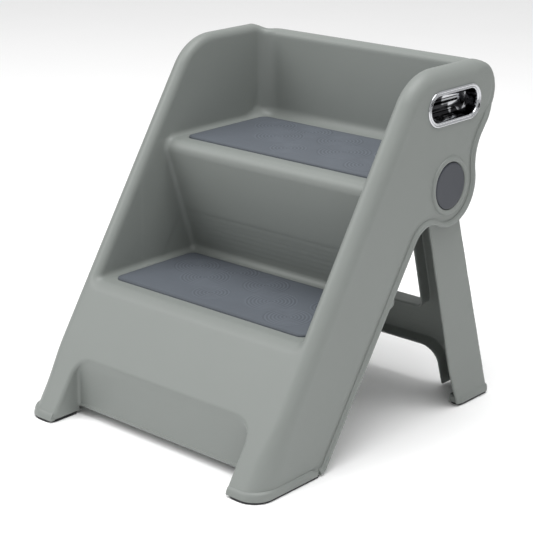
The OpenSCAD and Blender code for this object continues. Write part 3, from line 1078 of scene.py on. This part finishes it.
    def build(self, material: bpy.types.Material) -> None:
        """Makes the moulding and its crisp trims.

        Args:
            material: the moulded plastic.
        """
        lattice = self.lattice()
        values, guides = self.field(lattice)
        points, faces = lattice.skin(values, guides)
        piece = Piece("shell_moulding", points, faces).thin(190000)
        piece.shade_from(lattice, values, guides)
        piece.finish(material, Body.SHELL, "shell", "body_shell")
        for side in Side:
            self.lip(side, material)
            self.foot_bead(side, material)
            self.ring(side, material)
        self.recess_bead(material)

    def lip(self, side: Side, material: bpy.types.Material) -> None:
        """The raised lip along the rear of a side face, fading out at the lobe's top.

        Each point is the outline's point, moved inwards by the profile's first number and across
        by its second, times a weight that falls to nothing at the upper end.

        Args:
            side: which wall.
            material: the finish.
        """
        w = self.wall
        path = resample(self.outline.rear(), detail(2.5, 6.0))
        path = path[(path[:, 1] < 440) | (path[:, 0] > 430)]
        section = np.array([[0.5, -8.0], [0.15, 0.0], [0.2, 1.7], [0.7, 2.5], [1.7, 2.88], [3.2, 2.8],
                            [4.2, 2.2], [4.9, 1.2], [5.6, 0.35], [7.2, 0.02], [7.4, -8.0]])
        run = np.linspace(0, 1, len(path))
        weight = smooth_step(0.02, 0.13, run)[:, None]
        lift = np.where(section[None, :, 1] > 0, section[None, :, 1] * weight, section[None, :, 1])
        offset = section[None, :, 0] + 3.5 * (1 - weight)
        place = path[:, None] + right_of(path)[:, None] * offset[..., None]
        x = (w.face_x + lift - 9.0 * (1 - weight)) * side.value
        piece = bar(f"side_lip_{side.name.lower()}", np.concatenate([x[..., None], place], axis=-1))
        piece.smooth(60).finish(material, Body.SHELL, "shell")

    def foot_bead(self, side: Side, material: bpy.types.Material) -> None:
        """The flared bead round the foot of a side wall.

        A ten millimetre high section is swept round the foot's plan: across the front, round the
        corner and back to the heel.

        Args:
            side: which wall.
            material: the finish.
        """
        corner, heel = 27.0, 108.0
        out = self.wall.lip_x
        bend = arc((out - corner, corner + 1.4), corner, -90, 0, 5)
        path = resample(np.concatenate([[[151.5, 1.6]], bend, [[out, heel]]]), 2.0)
        outward = right_of(path)
        section = np.array([[-7.0, 2.5], [-0.8, 2.5], [-0.2, 3.0], [0.0, 4.2], [-0.05, 8.6], [-0.35, 10.6],
                            [-1.2, 12.0], [-2.4, 12.6], [-3.6, 13.0], [-7.0, 13.6]])
        lean = math.tan(math.radians(self.wall.front_lean))
        front = (outward[:, 1] < 0) * np.abs(outward[:, 1])
        back = smooth_step(heel - 10, heel, path[:, 1])
        shift = section[None, :, 0] - front[:, None] * np.maximum(section[None, :, 1] - 4, 0) * lean * 0.55
        height = 2.5 + (section[None, :, 1] - 2.5) * (1 - 0.35 * back[:, None])
        flat = path[:, None] + outward[:, None] * (shift - 0.2 * back[:, None])[..., None]
        points = np.stack([flat[..., 0] * side.value, flat[..., 1], height], axis=-1)
        piece = bar(f"foot_bead_{side.name.lower()}", points)
        piece.smooth(60).finish(material, Body.SHELL, "shell")

    def ring(self, side: Side, material: bpy.types.Material) -> None:
        """The raised ring and the pocket round a hinge cover.

        Args:
            side: which wall.
            material: the finish.
        """
        profile = np.array([[196.2, 33.5], [196.4, 37.0], [197.3, 36.6], [198.4, 35.9], [199.2, 34.9],
                            [199.4, 33.7], [199.3, 32.2], [198.7, 30.9], [197.6, 30.0], [196.4, 29.7],
                            [193.5, 29.6], [193.5, 5.3], [190.7, 5.3], [190.7, 33.4], [196.2, 33.5]])
        piece = lathe(f"hinge_ring_{side.name.lower()}", profile, self.wall.hinge, side, 144)
        piece.smooth(50).finish(material, Body.SHELL, "shell")

    def recess_bead(self, material: bpy.types.Material) -> None:
        """The thick lower edge of the recess's rear wall: a half-round bar across the recess."""
        r = self.recess
        a = np.radians(np.linspace(0, 360, 25)[:-1])
        x = np.linspace(-r.half_width + 0.5, r.half_width - 0.5, 60)
        y = r.depth + 1.6 + 2.6 * np.cos(a)
        z = r.lower_edge + 3.2 + 3.4 * np.sin(a)
        piece = bar("recess_bead", np.stack(np.broadcast_arrays(x[:, None], y[None], z[None]), axis=-1))
        piece.smooth(60).finish(material, Body.SHELL, "shell")


# ---------------------------------------------------------------- pads


@dataclass(frozen=True)
class Ripple:
    """A cluster of raised rings on a pad, at a place across and behind the pad's front edge."""

    across: float
    behind: float
    radius: float


@dataclass(frozen=True)
class PadSizes:
    """Sizes of a rubber pad."""

    name: str
    front: float
    depth: float
    base: float
    ripples: tuple[Ripple, ...]
    width: float = 320.0
    thickness: float = 2.75
    corner: float = 11.0
    pitch: float = 4.6
    relief: float = 0.5
    edge_radius: float = 0.7


class Pad:
    """A soft tread pad with clusters of fine raised rings."""

    def __init__(self, size: PadSizes) -> None:
        """Keeps the sizes."""
        self.size = size

    def spread(self, length: float, step: float) -> Array:
        """Places along a side, close together at both ends."""
        edge = np.array([0, 0.05, 0.2, 0.4, 0.7, 1.3, 2.2])
        inner = np.linspace(3.2, length - 3.2, int((length - 6.4) / step) + 1)
        return np.concatenate([edge, inner, (length - edge)[::-1]])

    def relief(self, x: Array, y: Array) -> Array:
        """Height of the rings: a cosine of the distance from each cluster's centre.

        Each cluster is cut off at its own radius, later ones lie over earlier ones, and the rest
        of the pad is half as high as the rings.
        """
        s = self.size
        total = np.full_like(x, s.relief / 2)
        for ripple in s.ripples:
            away = np.hypot(x - ripple.across, y - s.front - ripple.behind)
            window = 1 - smooth_step(ripple.radius - 2, ripple.radius, away)
            wave = s.relief * (0.5 + 0.5 * np.cos(2 * np.pi * away / s.pitch))
            total = total * (1 - window) + wave * window
        return total

    def build(self, material: bpy.types.Material) -> None:
        """Makes the pad.

        The height is a quarter circle close to the edge, then flat, less a little
        where the rings aren't.

        Args:
            material: the rubber.
        """
        s = self.size
        step = detail(0.95, 3.0)
        u, v = self.spread(s.width, step), self.spread(s.depth, step)
        cut = np.maximum(s.corner - np.minimum(v, s.depth - v), 0)
        half = s.width / 2 - (s.corner - np.sqrt(np.maximum(s.corner**2 - cut**2, 0)))
        x = (u / s.width * 2 - 1)[None] * half[:, None]
        y = np.broadcast_to((s.front + v)[:, None], x.shape)
        px = np.abs(x) - s.width / 2 + s.corner
        py = np.abs(y - s.front - s.depth / 2) - s.depth / 2 + s.corner
        edge = s.corner - np.hypot(np.maximum(px, 0), np.maximum(py, 0)) - np.minimum(np.maximum(px, py), 0)
        near = np.clip(edge / s.edge_radius, 0, 1)
        z = s.base + (s.thickness - s.relief) * np.sqrt(np.maximum(1 - (1 - near) ** 2, 0))
        relief = self.relief(x, y)
        inside = smooth_step(2, 5, edge)
        z = z + relief * inside
        points = np.stack([x, y, z], axis=-1).reshape(-1, 3)
        piece = Piece(s.name, points, grid_faces(*x.shape))
        # The ring attribute is the rings' height, which the rubber turns into lighter crests: painted
        # highlights.
        ring = piece.object.data.attributes.new("ring", "FLOAT", "POINT")
        ring.data.foreach_set("value", (relief / s.relief * inside).ravel())
        close_ends(mend(piece)).smooth(50)
        piece.finish(material, Body.SHELL, "pad", s.name)


# ---------------------------------------------------------------- grip


@dataclass(frozen=True)
class GripSizes:
    """Sizes of a plated grip cup."""

    centre: tuple[float, float] = (358.9, 402.2)
    length: float = 107.0
    height: float = 44.5

    @property
    def straight(self) -> float:
        """Length of the straight sides."""
        return self.length - self.height


class Grip:
    """A bright cup let into a side wall, with a rounded double bezel."""

    def __init__(self, size: GripSizes, side: Side) -> None:
        """Keeps the sizes and the side."""
        self.size, self.side = size, side

    def build(self, material: bpy.types.Material) -> None:
        """Makes the cup.

        A profile of (distance inwards, place across) is swept round a stadium: each point is the
        nearer half circle's centre plus its own radius times (cos a, sin a).

        Args:
            material: the plating.
        """
        s = self.size
        section = np.array([
            [7.2, 180.2], [5.6, 181.6], [5.0, 195.8], [0.2, 196.4], [0.0, 197.3], [0.25, 198.1],
            [0.9, 198.75], [1.8, 198.95], [2.6, 198.7], [3.1, 198.1], [3.5, 197.9], [4.0, 198.2],
            [4.7, 198.5], [5.4, 198.3],
            [6.0, 197.6], [6.5, 196.2], [7.1, 192.6], [7.5, 189.6], [7.7, 189.2], [8.6, 186.0], [9.9, 183.4],
            [10.3, 183.1], [13.0, 182.1], [16.2, 181.7], [16.6, 181.9], [22.25, 182.3],
        ])
        turns = 128
        a = np.linspace(0, 2 * np.pi, turns, endpoint=False) + np.pi / turns
        centre = s.centre[0] + np.sign(np.cos(a)) * s.straight / 2
        radius = s.height / 2 - section[:, 0]
        y = centre[:, None] + radius[None] * np.cos(a)[:, None]
        z = s.centre[1] + radius[None] * np.sin(a)[:, None]
        x = np.broadcast_to(section[None, :, 1] * self.side.value, y.shape)
        points = np.stack([x, y, z], axis=-1).reshape(-1, 3)
        name = f"grip_cup_{self.side.name.lower()}"
        piece = mend(Piece(name, points, grid_faces(turns, len(section), True, False)))
        close_ends(piece).smooth(40)
        piece.finish(material, Body.SHELL, "grip", name)


# ---------------------------------------------------------------- hinge


@dataclass(frozen=True)
class HingeSizes:
    """Sizes of a hinge's small parts."""

    centre: tuple[float, float] = (354.4, 303.0)
    pocket_x: float = 193.5
    wall_x: float = 172.5
    hub_inner: float = 176.3
    hub_outer: float = 189.7
    bolt: float = 5.0
    bush: float = 8.0


@dataclass(frozen=True)
class Finishes:
    """The finishes that the parts share."""

    shell: bpy.types.Material
    frame: bpy.types.Material
    pad: bpy.types.Material
    grip: bpy.types.Material
    cap: bpy.types.Material
    steel: bpy.types.Material
    bush: bpy.types.Material
    foot: bpy.types.Material


class Hinge:
    """One hinge: cover, bolt, bush, washer and nut."""

    def __init__(self, size: HingeSizes, side: Side) -> None:
        """Keeps the sizes and the side."""
        self.size, self.side = size, side

    def turned(self, part: str, profile: list[list[float]], finish: bpy.types.Material, body: Body,
               slot: str) -> None:
        """Makes one turned part and lets it stand for its CAD node.

        Args:
            part: the part's name without its side.
            profile: rows of (x, radius), in millimetres.
            finish: the material.
            body: the body it moves with.
            slot: the material slot's name.
        """
        name = f"{part}_{self.side.name.lower()}"
        piece = lathe(name, np.array(profile), self.size.centre, self.side, 72)
        piece.smooth(35).finish(finish, body, slot, name)

    def build(self, finishes: Finishes) -> None:
        """Makes the five parts.

        Args:
            finishes: the shared finishes.
        """
        s = self.size
        p, b = s.pocket_x, s.bolt
        self.turned("hinge_cap", [[196.0, 0.0], [196.0, 23.6], [p + 0.2, 24.2], [p + 0.2, 26.3],
                                  [196.0, 26.6], [196.05, 28.6], [196.5, 29.1], [197.4, 29.15],
                                  [197.9, 28.8], [198.15, 28.0], [198.1, 26.0], [198.0, 12.0],
                                  [197.98, 0.0]], finishes.cap, Body.SHELL, "cap")
        nut_end = s.wall_x - 9.5
        self.turned("pivot_bolt", [[nut_end, 0], [nut_end, b - 0.8], [nut_end + 0.8, b - 0.01],
                                   [p - 0.1, b - 0.01], [p, b + 0.2], [p, 9.6], [p + 0.4, 10.0],
                                   [p + 1.5, 9.9], [p + 2.1, 9.2],
                                   [p + 2.39, 7.8], [p + 2.39, 4.0], [p + 1.4, 3.4], [p + 1.4, 0]],
                    finishes.steel, Body.SHELL, "steel")
        i, o = s.hub_inner, s.hub_outer
        self.turned("pivot_bush", [[i - 0.5, b + 0.05], [i - 0.5, s.bush + 2.7], [i - 0.3, s.bush + 3],
                                   [i, s.bush + 3], [i, s.bush], [o, s.bush], [o, s.bush + 3],
                                   [o + 0.3, s.bush + 3], [o + 0.5, s.bush + 2.7], [o + 0.5, b + 0.05],
                                   [i - 0.5, b + 0.05]], finishes.bush, Body.FRAME, "bush")
        w = s.wall_x
        self.turned("pivot_washer", [[w - 1.5, b + 0.2], [w - 1.5, 9.7], [w - 1.2, 10], [w - 0.3, 10],
                                     [w, 9.7], [w, b + 0.2], [w - 1.5, b + 0.2]],
                    finishes.steel, Body.SHELL, "steel")
        self.nut(finishes.steel)

    def nut(self, finish: bpy.types.Material) -> None:
        """A hexagon nut with turned chamfers.

        Its radius is the lesser of the hexagon's, which is half the width across the flats over
        the cosine of the angle from the nearest flat's middle, and a cone's.

        Args:
            finish: the metal.
        """
        s = self.size
        turns = 72
        a = np.linspace(0, 2 * np.pi, turns, endpoint=False)[:, None]
        half_flats = 7.95
        hexagon = half_flats / np.cos((a + np.pi / 6) % (np.pi / 3) - np.pi / 6)
        x = np.array([0.0, 0.0, 0.9, 5.1, 6.0, 6.0])[None] + s.wall_x - 7.5
        cone = np.array([s.bolt + 0.02, 8.0, 9.15, 9.15, 8.0, s.bolt + 0.02])[None]
        r = np.minimum(cone, np.where(cone > 6, hexagon, cone))
        x = np.broadcast_to(x, r.shape) * self.side.value
        points = np.stack([x, s.centre[0] + r * np.cos(a), s.centre[1] + r * np.sin(a)], -1).reshape(-1, 3)
        name = f"pivot_nut_{self.side.name.lower()}"
        piece = mend(Piece(name, points, grid_faces(turns, r.shape[1], True, True)))
        piece.smooth(30).finish(finish, Body.SHELL, "steel", name)


# ---------------------------------------------------------------- rear frame and feet


@dataclass(frozen=True)
class FrameSizes:
    """Sizes of the rear frame, in its own axes with the hinge line at the origin."""

    hinge: tuple[float, float] = (354.4, 303.0)
    lean: float = 13.2
    front: float = 39.0
    rear: float = 21.6
    flange: float = 22.0
    inner: float = 125.0
    bar_low: float = 56.0
    bar_high: float = 116.0
    window_radius: float = 10.0
    arch_radius: float = 24.0
    top: float = -46.0
    outer: float = 198.4
    foot_x: tuple[float, float] = (180.0, 199.9)
    hub: float = 38.0
    hub_x: tuple[float, float] = (176.3, 189.7)
    foot_y: tuple[float, float] = (391.0, 455.9)
    skin: float = 3.4
    edge: float = 3.0
    bush_hole: float = 8.0
    sole: float = 2.5
    tray_top: float = 12.5

    def down(self, z: float) -> float:
        """The place along the leg of a height above the floor."""
        return -(self.hinge[1] - z) / math.cos(math.radians(self.lean))


class RearFrame:
    """The H-shaped channel that folds about the hinge line."""

    def __init__(self, size: FrameSizes) -> None:
        """Keeps the sizes."""
        self.size = size

    def field(self, lattice: Lattice) -> Array:
        """Samples the frame, negative inside.

        The H is the outer outline less the window and the arch. A block with that outline is
        hollowed from the front, then the deep outer flanges, the hubs, their necks, a rib and
        the flat feet are added.

        Args:
            lattice: where to sample.

        Returns:
            The samples.
        """
        s = self.size
        at = lattice.places()
        lean = math.radians(s.lean)
        dy, dz = at.y - s.hinge[0], at.z - s.hinge[1]
        own = Places(at.across, dy * math.cos(lean) + dz * math.sin(lean),
                     -dy * math.sin(lean) + dz * math.cos(lean))
        turn = np.hypot(own.y, own.z)
        solid = np.minimum(self.channel(own), self.hub(own, turn))
        solid = np.maximum(solid, -(turn - s.bush_hole))
        solid = smooth_either(solid, self.tray(at), 2.0)
        return np.maximum(solid, np.maximum(s.sole - at.z, at.y - s.foot_y[1])).astype(np.float32)

    def channel(self, own: Places) -> Array:
        """The H as a channel that is open to the front, with its deep outer flanges and a rib.

        Args:
            own: where to sample, in the frame's own axes.

        Returns:
            The samples.
        """
        s, ax, y, z = self.size, own.across, own.y, own.z
        foot = s.down(s.sole) - 22
        slant = np.interp(z, [s.down(30), s.top], [s.outer, s.hub_x[1]])
        outer = np.maximum(ax - slant, z - s.top)
        window = round_both(ax - s.inner, s.down(s.bar_high) - z, s.window_radius)
        arch = round_both(ax - s.inner - 14, z - s.down(s.bar_low), s.arch_radius)
        face = round_both(round_both(outer, -window, s.edge), -arch, s.edge)
        rear = np.interp(z, [foot, s.down(28), s.top], [s.rear + 9, s.rear + 5, s.rear])
        front = np.interp(z, [foot, s.down(30), s.down(66), s.top], [-31, -s.front, -s.front - 3, -s.front])
        block = round_both(face, np.maximum(y - rear, rear - s.flange - y), 2.6)
        solid = np.maximum(block, -np.maximum(face + s.skin, y - (rear - s.skin)))
        side = np.abs(ax - slant + s.skin / 2) - s.skin / 2
        side = np.maximum(side, np.maximum(z - s.top, ax * 0 + foot - z))
        solid = np.minimum(solid, np.maximum(side, np.maximum(y - rear + 1.5, front - y)))
        rib = np.maximum(ax - 2.0, np.abs(y - rear + 6) - 6)
        return smooth_either(solid, np.maximum(rib, np.abs(z - s.down(86)) - 30), 2)

    def hub(self, own: Places, turn: Array) -> Array:
        """The round hub at the hinge line, with the neck and the post that carry it.

        Args:
            own: where to sample, in the frame's own axes.
            turn: distance from the hinge line.

        Returns:
            The samples.
        """
        s, ax, y, z = self.size, own.across, own.y, own.z
        a, b = s.hub_x
        disc = np.maximum(turn - s.hub, np.maximum(a - ax, ax - b))
        pan = np.maximum(np.maximum(turn - s.hub + 4, 12 - turn), ax - (b - s.skin))
        grow = np.interp(z, [s.top, 0], [0.0, 1.0])
        neck = np.maximum(-s.front + 2 * grow - y, y - s.rear - 15 * grow)
        neck = np.maximum(neck, np.maximum(z, s.top - 12 - z))
        neck = np.maximum(neck, np.maximum(b - 3.6 - ax, ax - b))
        post = np.maximum(np.maximum(-12 - y, y - s.rear), np.maximum(z, s.top - 4 - z))
        post = np.maximum(post, np.maximum(a - ax, ax - b))
        return np.minimum(np.minimum(np.maximum(disc, -pan), neck), post)

    def tray(self, at: Places) -> Array:
        """The flat tray over a rear rubber foot."""
        s = self.size
        low_x, high_x = s.foot_x
        box = round_both(np.abs(at.across - (low_x + high_x) / 2) - (high_x - low_x) / 2,
                         np.abs(at.y - sum(s.foot_y) / 2) - (s.foot_y[1] - s.foot_y[0]) / 2, 6.0)
        pan = np.maximum(box + s.skin, 6 - at.z)
        return np.maximum(round_both(box, at.z - s.tray_top, 2.0), -pan)

    def build(self, material: bpy.types.Material) -> None:
        """Makes the frame.

        Args:
            material: the moulded plastic.
        """
        lattice = Lattice((-203.0, 300.0, -2.0), (203.0, 460.0, 348.0), detail(2.0, 4.0))
        values = self.field(lattice)
        points, faces = lattice.skin(values)
        piece = Piece("rear_frame_moulding", points, faces).thin(190000)
        piece.shade_from(lattice, values)
        piece.finish(material, Body.FRAME, "frame", "rear_frame")


class RubberFoot:
    """A flat rubber sole with soft edges and round plugs that hold it."""

    def __init__(self, name: str, plan: Array, plugs: Array, body: Body, side: Side,
                 plug_radius: float = 5.9) -> None:
        """Keeps the shape.

        Args:
            name: the piece's name, which is also its CAD node's.
            plan: the outline seen from above, anticlockwise, for the right side.
            plugs: the plugs' centres.
            body: the body it moves with.
            side: which side of the stool.
            plug_radius: the plugs' radius.
        """
        self.name, self.plan, self.plugs, self.body, self.side = name, plan, plugs, body, side
        self.plug_radius = plug_radius

    def build(self, material: bpy.types.Material) -> None:
        """Makes the sole from loops that follow the plan, and joins the plugs to it.

        Args:
            material: the rubber.
        """
        path = resample(np.concatenate([self.plan, self.plan[:1]]), 2.0)[:-1]
        outward = right_of(path, closed=True)
        section = np.array([[-0.9, 0.0], [-0.3, 0.15], [0.0, 0.6], [0.0, 2.0], [-0.25, 2.48]])
        flat = path[:, None] + outward[:, None] * section[None, :, 0, None]
        height = np.broadcast_to(section[None, :, 1], flat.shape[:2])
        points = np.stack([flat[..., 0] * self.side.value, flat[..., 1], height], -1).reshape(-1, 3)
        faces = grid_faces(len(path), len(section), True, False)
        piece = close_ends(mend(Piece(self.name, points, faces)))
        parts = [piece.object]
        turns = 32
        a = np.linspace(0, 2 * np.pi, turns, endpoint=False)[:, None]
        r = self.plug_radius
        profile = np.array([[r, 2.2], [r + 0.05, 6.6], [r - 0.7, 7.8], [3.0, 7.95], [0.0, 7.95]])
        for number, (x, y) in enumerate(self.plugs):
            px = (x + profile[None, :, 0] * np.cos(a)) * self.side.value
            py = y + profile[None, :, 0] * np.sin(a)
            pz = np.broadcast_to(profile[None, :, 1], px.shape)
            plug = Piece(f"{self.name}_plug_{number}", np.stack([px, py, pz], -1).reshape(-1, 3),
                         grid_faces(turns, len(profile), True, False))
            parts.append(close_ends(mend(plug)).object)
        with bpy.context.temp_override(active_object=parts[0], selected_editable_objects=parts):
            bpy.ops.object.join()
        piece.smooth(40).finish(material, self.body, "foot", self.name)


# ---------------------------------------------------------------- stage


class Studio:
    """The floor, the soft light, the black cards and the camera."""

    # From and to in y, and from and to in z, of the three cards on each side.
    CARDS = ((-400, 900, 500, 900), (700, 2600, 0, 420), (-2600, -900, 60, 500))
    CARD_X, CARD_BOW = 1500, 30
    DAYLIGHT = 0.68

    def build(self) -> None:
        """Makes the stage."""
        self.floor()
        self.world()
        self.light("key", (-1.6, -1.9, 2.4), 2.0, 46.0)
        self.light("fill", (2.4, -1.6, 1.6), 1.8, 1.5)
        self.light("top", (0.5, -0.1, 2.8), 1.7, 56.0)
        self.cards()
        self.camera()

    def cards(self) -> None:
        """Black cards beside the stool that only bright metal sees: gently bowed sheets."""
        s = Shader("card_black", Roughness=0.9, Specular_IOR_Level=0.0)
        s.feed("Base Color", s.between(s.noise(2.0), (0.004, 0.004, 0.004), (0.008, 0.008, 0.008)))
        for number, (y0, y1, z0, z1) in enumerate(self.CARDS):
            y, z = np.linspace(y0, y1, 12)[:, None], np.linspace(z0, z1, 6)[None]
            for side in Side:
                bow = self.CARD_BOW * np.sin((y - y0) / (y1 - y0) * np.pi)
                x = side.value * (self.CARD_X + bow) + 0 * z
                points = np.stack(np.broadcast_arrays(x, y, z), -1).reshape(-1, 3)
                card = Piece(f"card_{side.name.lower()}_{number}", points, grid_faces(12, 6)).object
                card.data.materials.append(s.material)
                card.visible_camera = card.visible_diffuse = card.visible_shadow = False
                card.visible_transmission = False

    def floor(self) -> None:
        """A plain pale floor that curves up far behind: height is 0, then a parabola."""
        y = np.concatenate([np.linspace(-6000, 3000, 10), np.linspace(3200, 9000, 24)])
        x = np.linspace(-9000, 9000, 19)
        bend_y, bend = 3000, 9000
        rise = np.maximum(y - bend_y, 0) ** 2 / bend
        points = np.stack(np.broadcast_arrays(x[None], y[:, None], rise[:, None] - 0.02), -1).reshape(-1, 3)
        piece = Piece("studio_floor", points, grid_faces(len(y), len(x)))
        s = Shader("studio_floor", Roughness=0.9, Specular_IOR_Level=0.1)
        cloud = s.noise(3.0, 2.0)
        s.feed("Base Color", s.between(cloud, (0.93, 0.93, 0.93), (0.95, 0.95, 0.95)))
        piece.object.data.materials.append(s.material)

    def world(self) -> None:
        """Even white light from all round."""
        world = bpy.data.worlds.new("studio_world")
        bpy.context.scene.world = world
        world.use_nodes = True
        background = world.node_tree.nodes["Background"]
        background.inputs[0].default_value = (1.0, 1.0, 1.0, 1.0)
        background.inputs[1].default_value = self.DAYLIGHT
        bpy.context.scene.view_settings.view_transform = "Standard"

    def light(self, name: str, place: tuple[float, float, float], size: float, power: float) -> None:
        """Adds a square soft light that is aimed at the stool's middle.

        Args:
            name: the light's name.
            place: where it stands, in metres.
            size: its side in metres.
            power: its power in watts.
        """
        data = bpy.data.lights.new(name, "AREA")
        data.shape, data.size, data.energy = "SQUARE", size, power
        lamp = bpy.data.objects.new(name, data)
        lamp.location = place
        lamp.rotation_euler = (Vector((0, 0, 0.2)) - lamp.location).to_track_quat("-Z", "Y").to_euler()
        bpy.context.scene.collection.objects.link(lamp)

    def camera(self) -> None:
        """The camera: a long lens from the front right, a little above."""
        data = bpy.data.cameras.new("camera")
        data.lens, data.sensor_width = 108.7, 36.0
        camera = bpy.data.objects.new("camera", data)
        camera.location = (1.2944, -1.4262, 0.8320)
        target = Vector((0, 0.0118, 0.1839))
        camera.rotation_euler = (target - camera.location).to_track_quat("-Z", "Y").to_euler()
        bpy.context.scene.collection.objects.link(camera)
        bpy.context.scene.camera = camera


# ---------------------------------------------------------------- stool


def rounded_plan(corners: Sequence[Sequence[float]], radii: Sequence[float]) -> Array:
    """A closed plan outline with each corner rounded by a curve through its two touching points.

    Args:
        corners: the corners, anticlockwise.
        radii: how far from each corner the rounding starts.

    Returns:
        The outline's points.
    """
    c = np.array(corners, float)
    out = []
    for before, here, after, r in zip(np.roll(c, 1, 0), c, np.roll(c, -1, 0), radii):
        a = here + (before - here) / np.linalg.norm(before - here) * r
        b = here + (after - here) / np.linalg.norm(after - here) * r
        t = np.linspace(0, 1, 9)[:, None]
        weight = (1 - t) ** 2, 2 * t * (1 - t) * math.sqrt(0.5), t**2
        out.append((a * weight[0] + here * weight[1] + b * weight[2]) / sum(weight))
    return np.concatenate(out)


class Stool:
    """The whole stool."""

    def finishes(self) -> Finishes:
        """Builds the finishes."""
        grey = (0.196, 0.211, 0.200)
        return Finishes(
            shell=MouldedPlastic("shell_plastic", grey).build(),
            frame=MouldedPlastic("frame_plastic", tuple(c * 0.98 for c in grey), 0.5).build(),
            pad=MouldedRubber("pad_rubber", (0.070, 0.079, 0.092)).build(),
            # The grip plating's second colour is the painted dark reflection inside its cup.
            grip=PlatedMetal("grip_plating", (0.56, 0.57, 0.59), (0.015, 0.015, 0.017)).build(),
            cap=MouldedPlastic("cap_plastic", (0.032, 0.036, 0.047), 0.36, 1800.0).build(),
            steel=PlatedMetal("zinc_steel", (0.62, 0.63, 0.65), None, 0.3, 200.0, 0.0002).build(),
            bush=MouldedPlastic("bush_plastic", (0.68, 0.68, 0.62), 0.4).build(),
            foot=MouldedRubber("foot_rubber", (0.016, 0.016, 0.018)).build(),
        )

    def pads(self) -> tuple[PadSizes, PadSizes]:
        """The two pads, with their clusters of rings."""
        lower = tuple(Ripple(*v) for v in ((-112, 104, 32), (-52, 118, 30), (-72, 78, 34), (8, 106, 32),
                                           (52, 66, 34), (-26, 40, 26), (104, 38, 32), (120, 96, 26)))
        upper = tuple(Ripple(*v) for v in ((-108, 120, 30), (-50, 122, 32), (-66, 80, 34), (10, 112, 32),
                                           (50, 72, 36), (108, 104, 30), (-16, 40, 26), (112, 42, 32)))
        return (PadSizes("lower_tread_pad", 125.0, 144.0, 160.0, lower),
                PadSizes("upper_tread_pad", 259.0, 154.0, 322.0, upper))

    def feet(self, side: Side, material: bpy.types.Material) -> None:
        """The front and rear rubber feet of one side."""
        front = rounded_plan([(151, 1.5), (198.4, 1.5), (198.4, 114), (173, 114), (173, 47.4), (151, 47.4)],
                             [12, 27, 5, 5, 3, 4])
        plugs = np.array([(186, 38), (186, 68), (186, 98)], float)
        RubberFoot(f"front_foot_{side.name.lower()}", front, plugs, Body.SHELL, side).build(material)
        rear = rounded_plan([(182, 393), (198, 393), (198, 455), (182, 455)], [5, 5, 5, 5])
        plugs = np.array([(190, 409), (190, 438)], float)
        RubberFoot(f"rear_foot_{side.name.lower()}", rear, plugs, Body.FRAME, side, 4.9).build(material)

    def build(self) -> None:
        """Makes every piece of the stool."""
        finishes = self.finishes()
        Shell(WallSizes(), StairSizes(), RecessSizes()).build(finishes.shell)
        RearFrame(FrameSizes()).build(finishes.frame)
        for size in self.pads():
            Pad(size).build(finishes.pad)
        for side in Side:
            Grip(GripSizes(), side).build(finishes.grip)
            Hinge(HingeSizes(), side).build(finishes)
            self.feet(side, finishes.foot)


def main() -> None:
    """Builds the stool and its studio."""
    logging.basicConfig(level=logging.INFO, format="%(name)s: %(message)s")
    Stool().build()
    Studio().build()


if __name__ == "__main__":
    main()
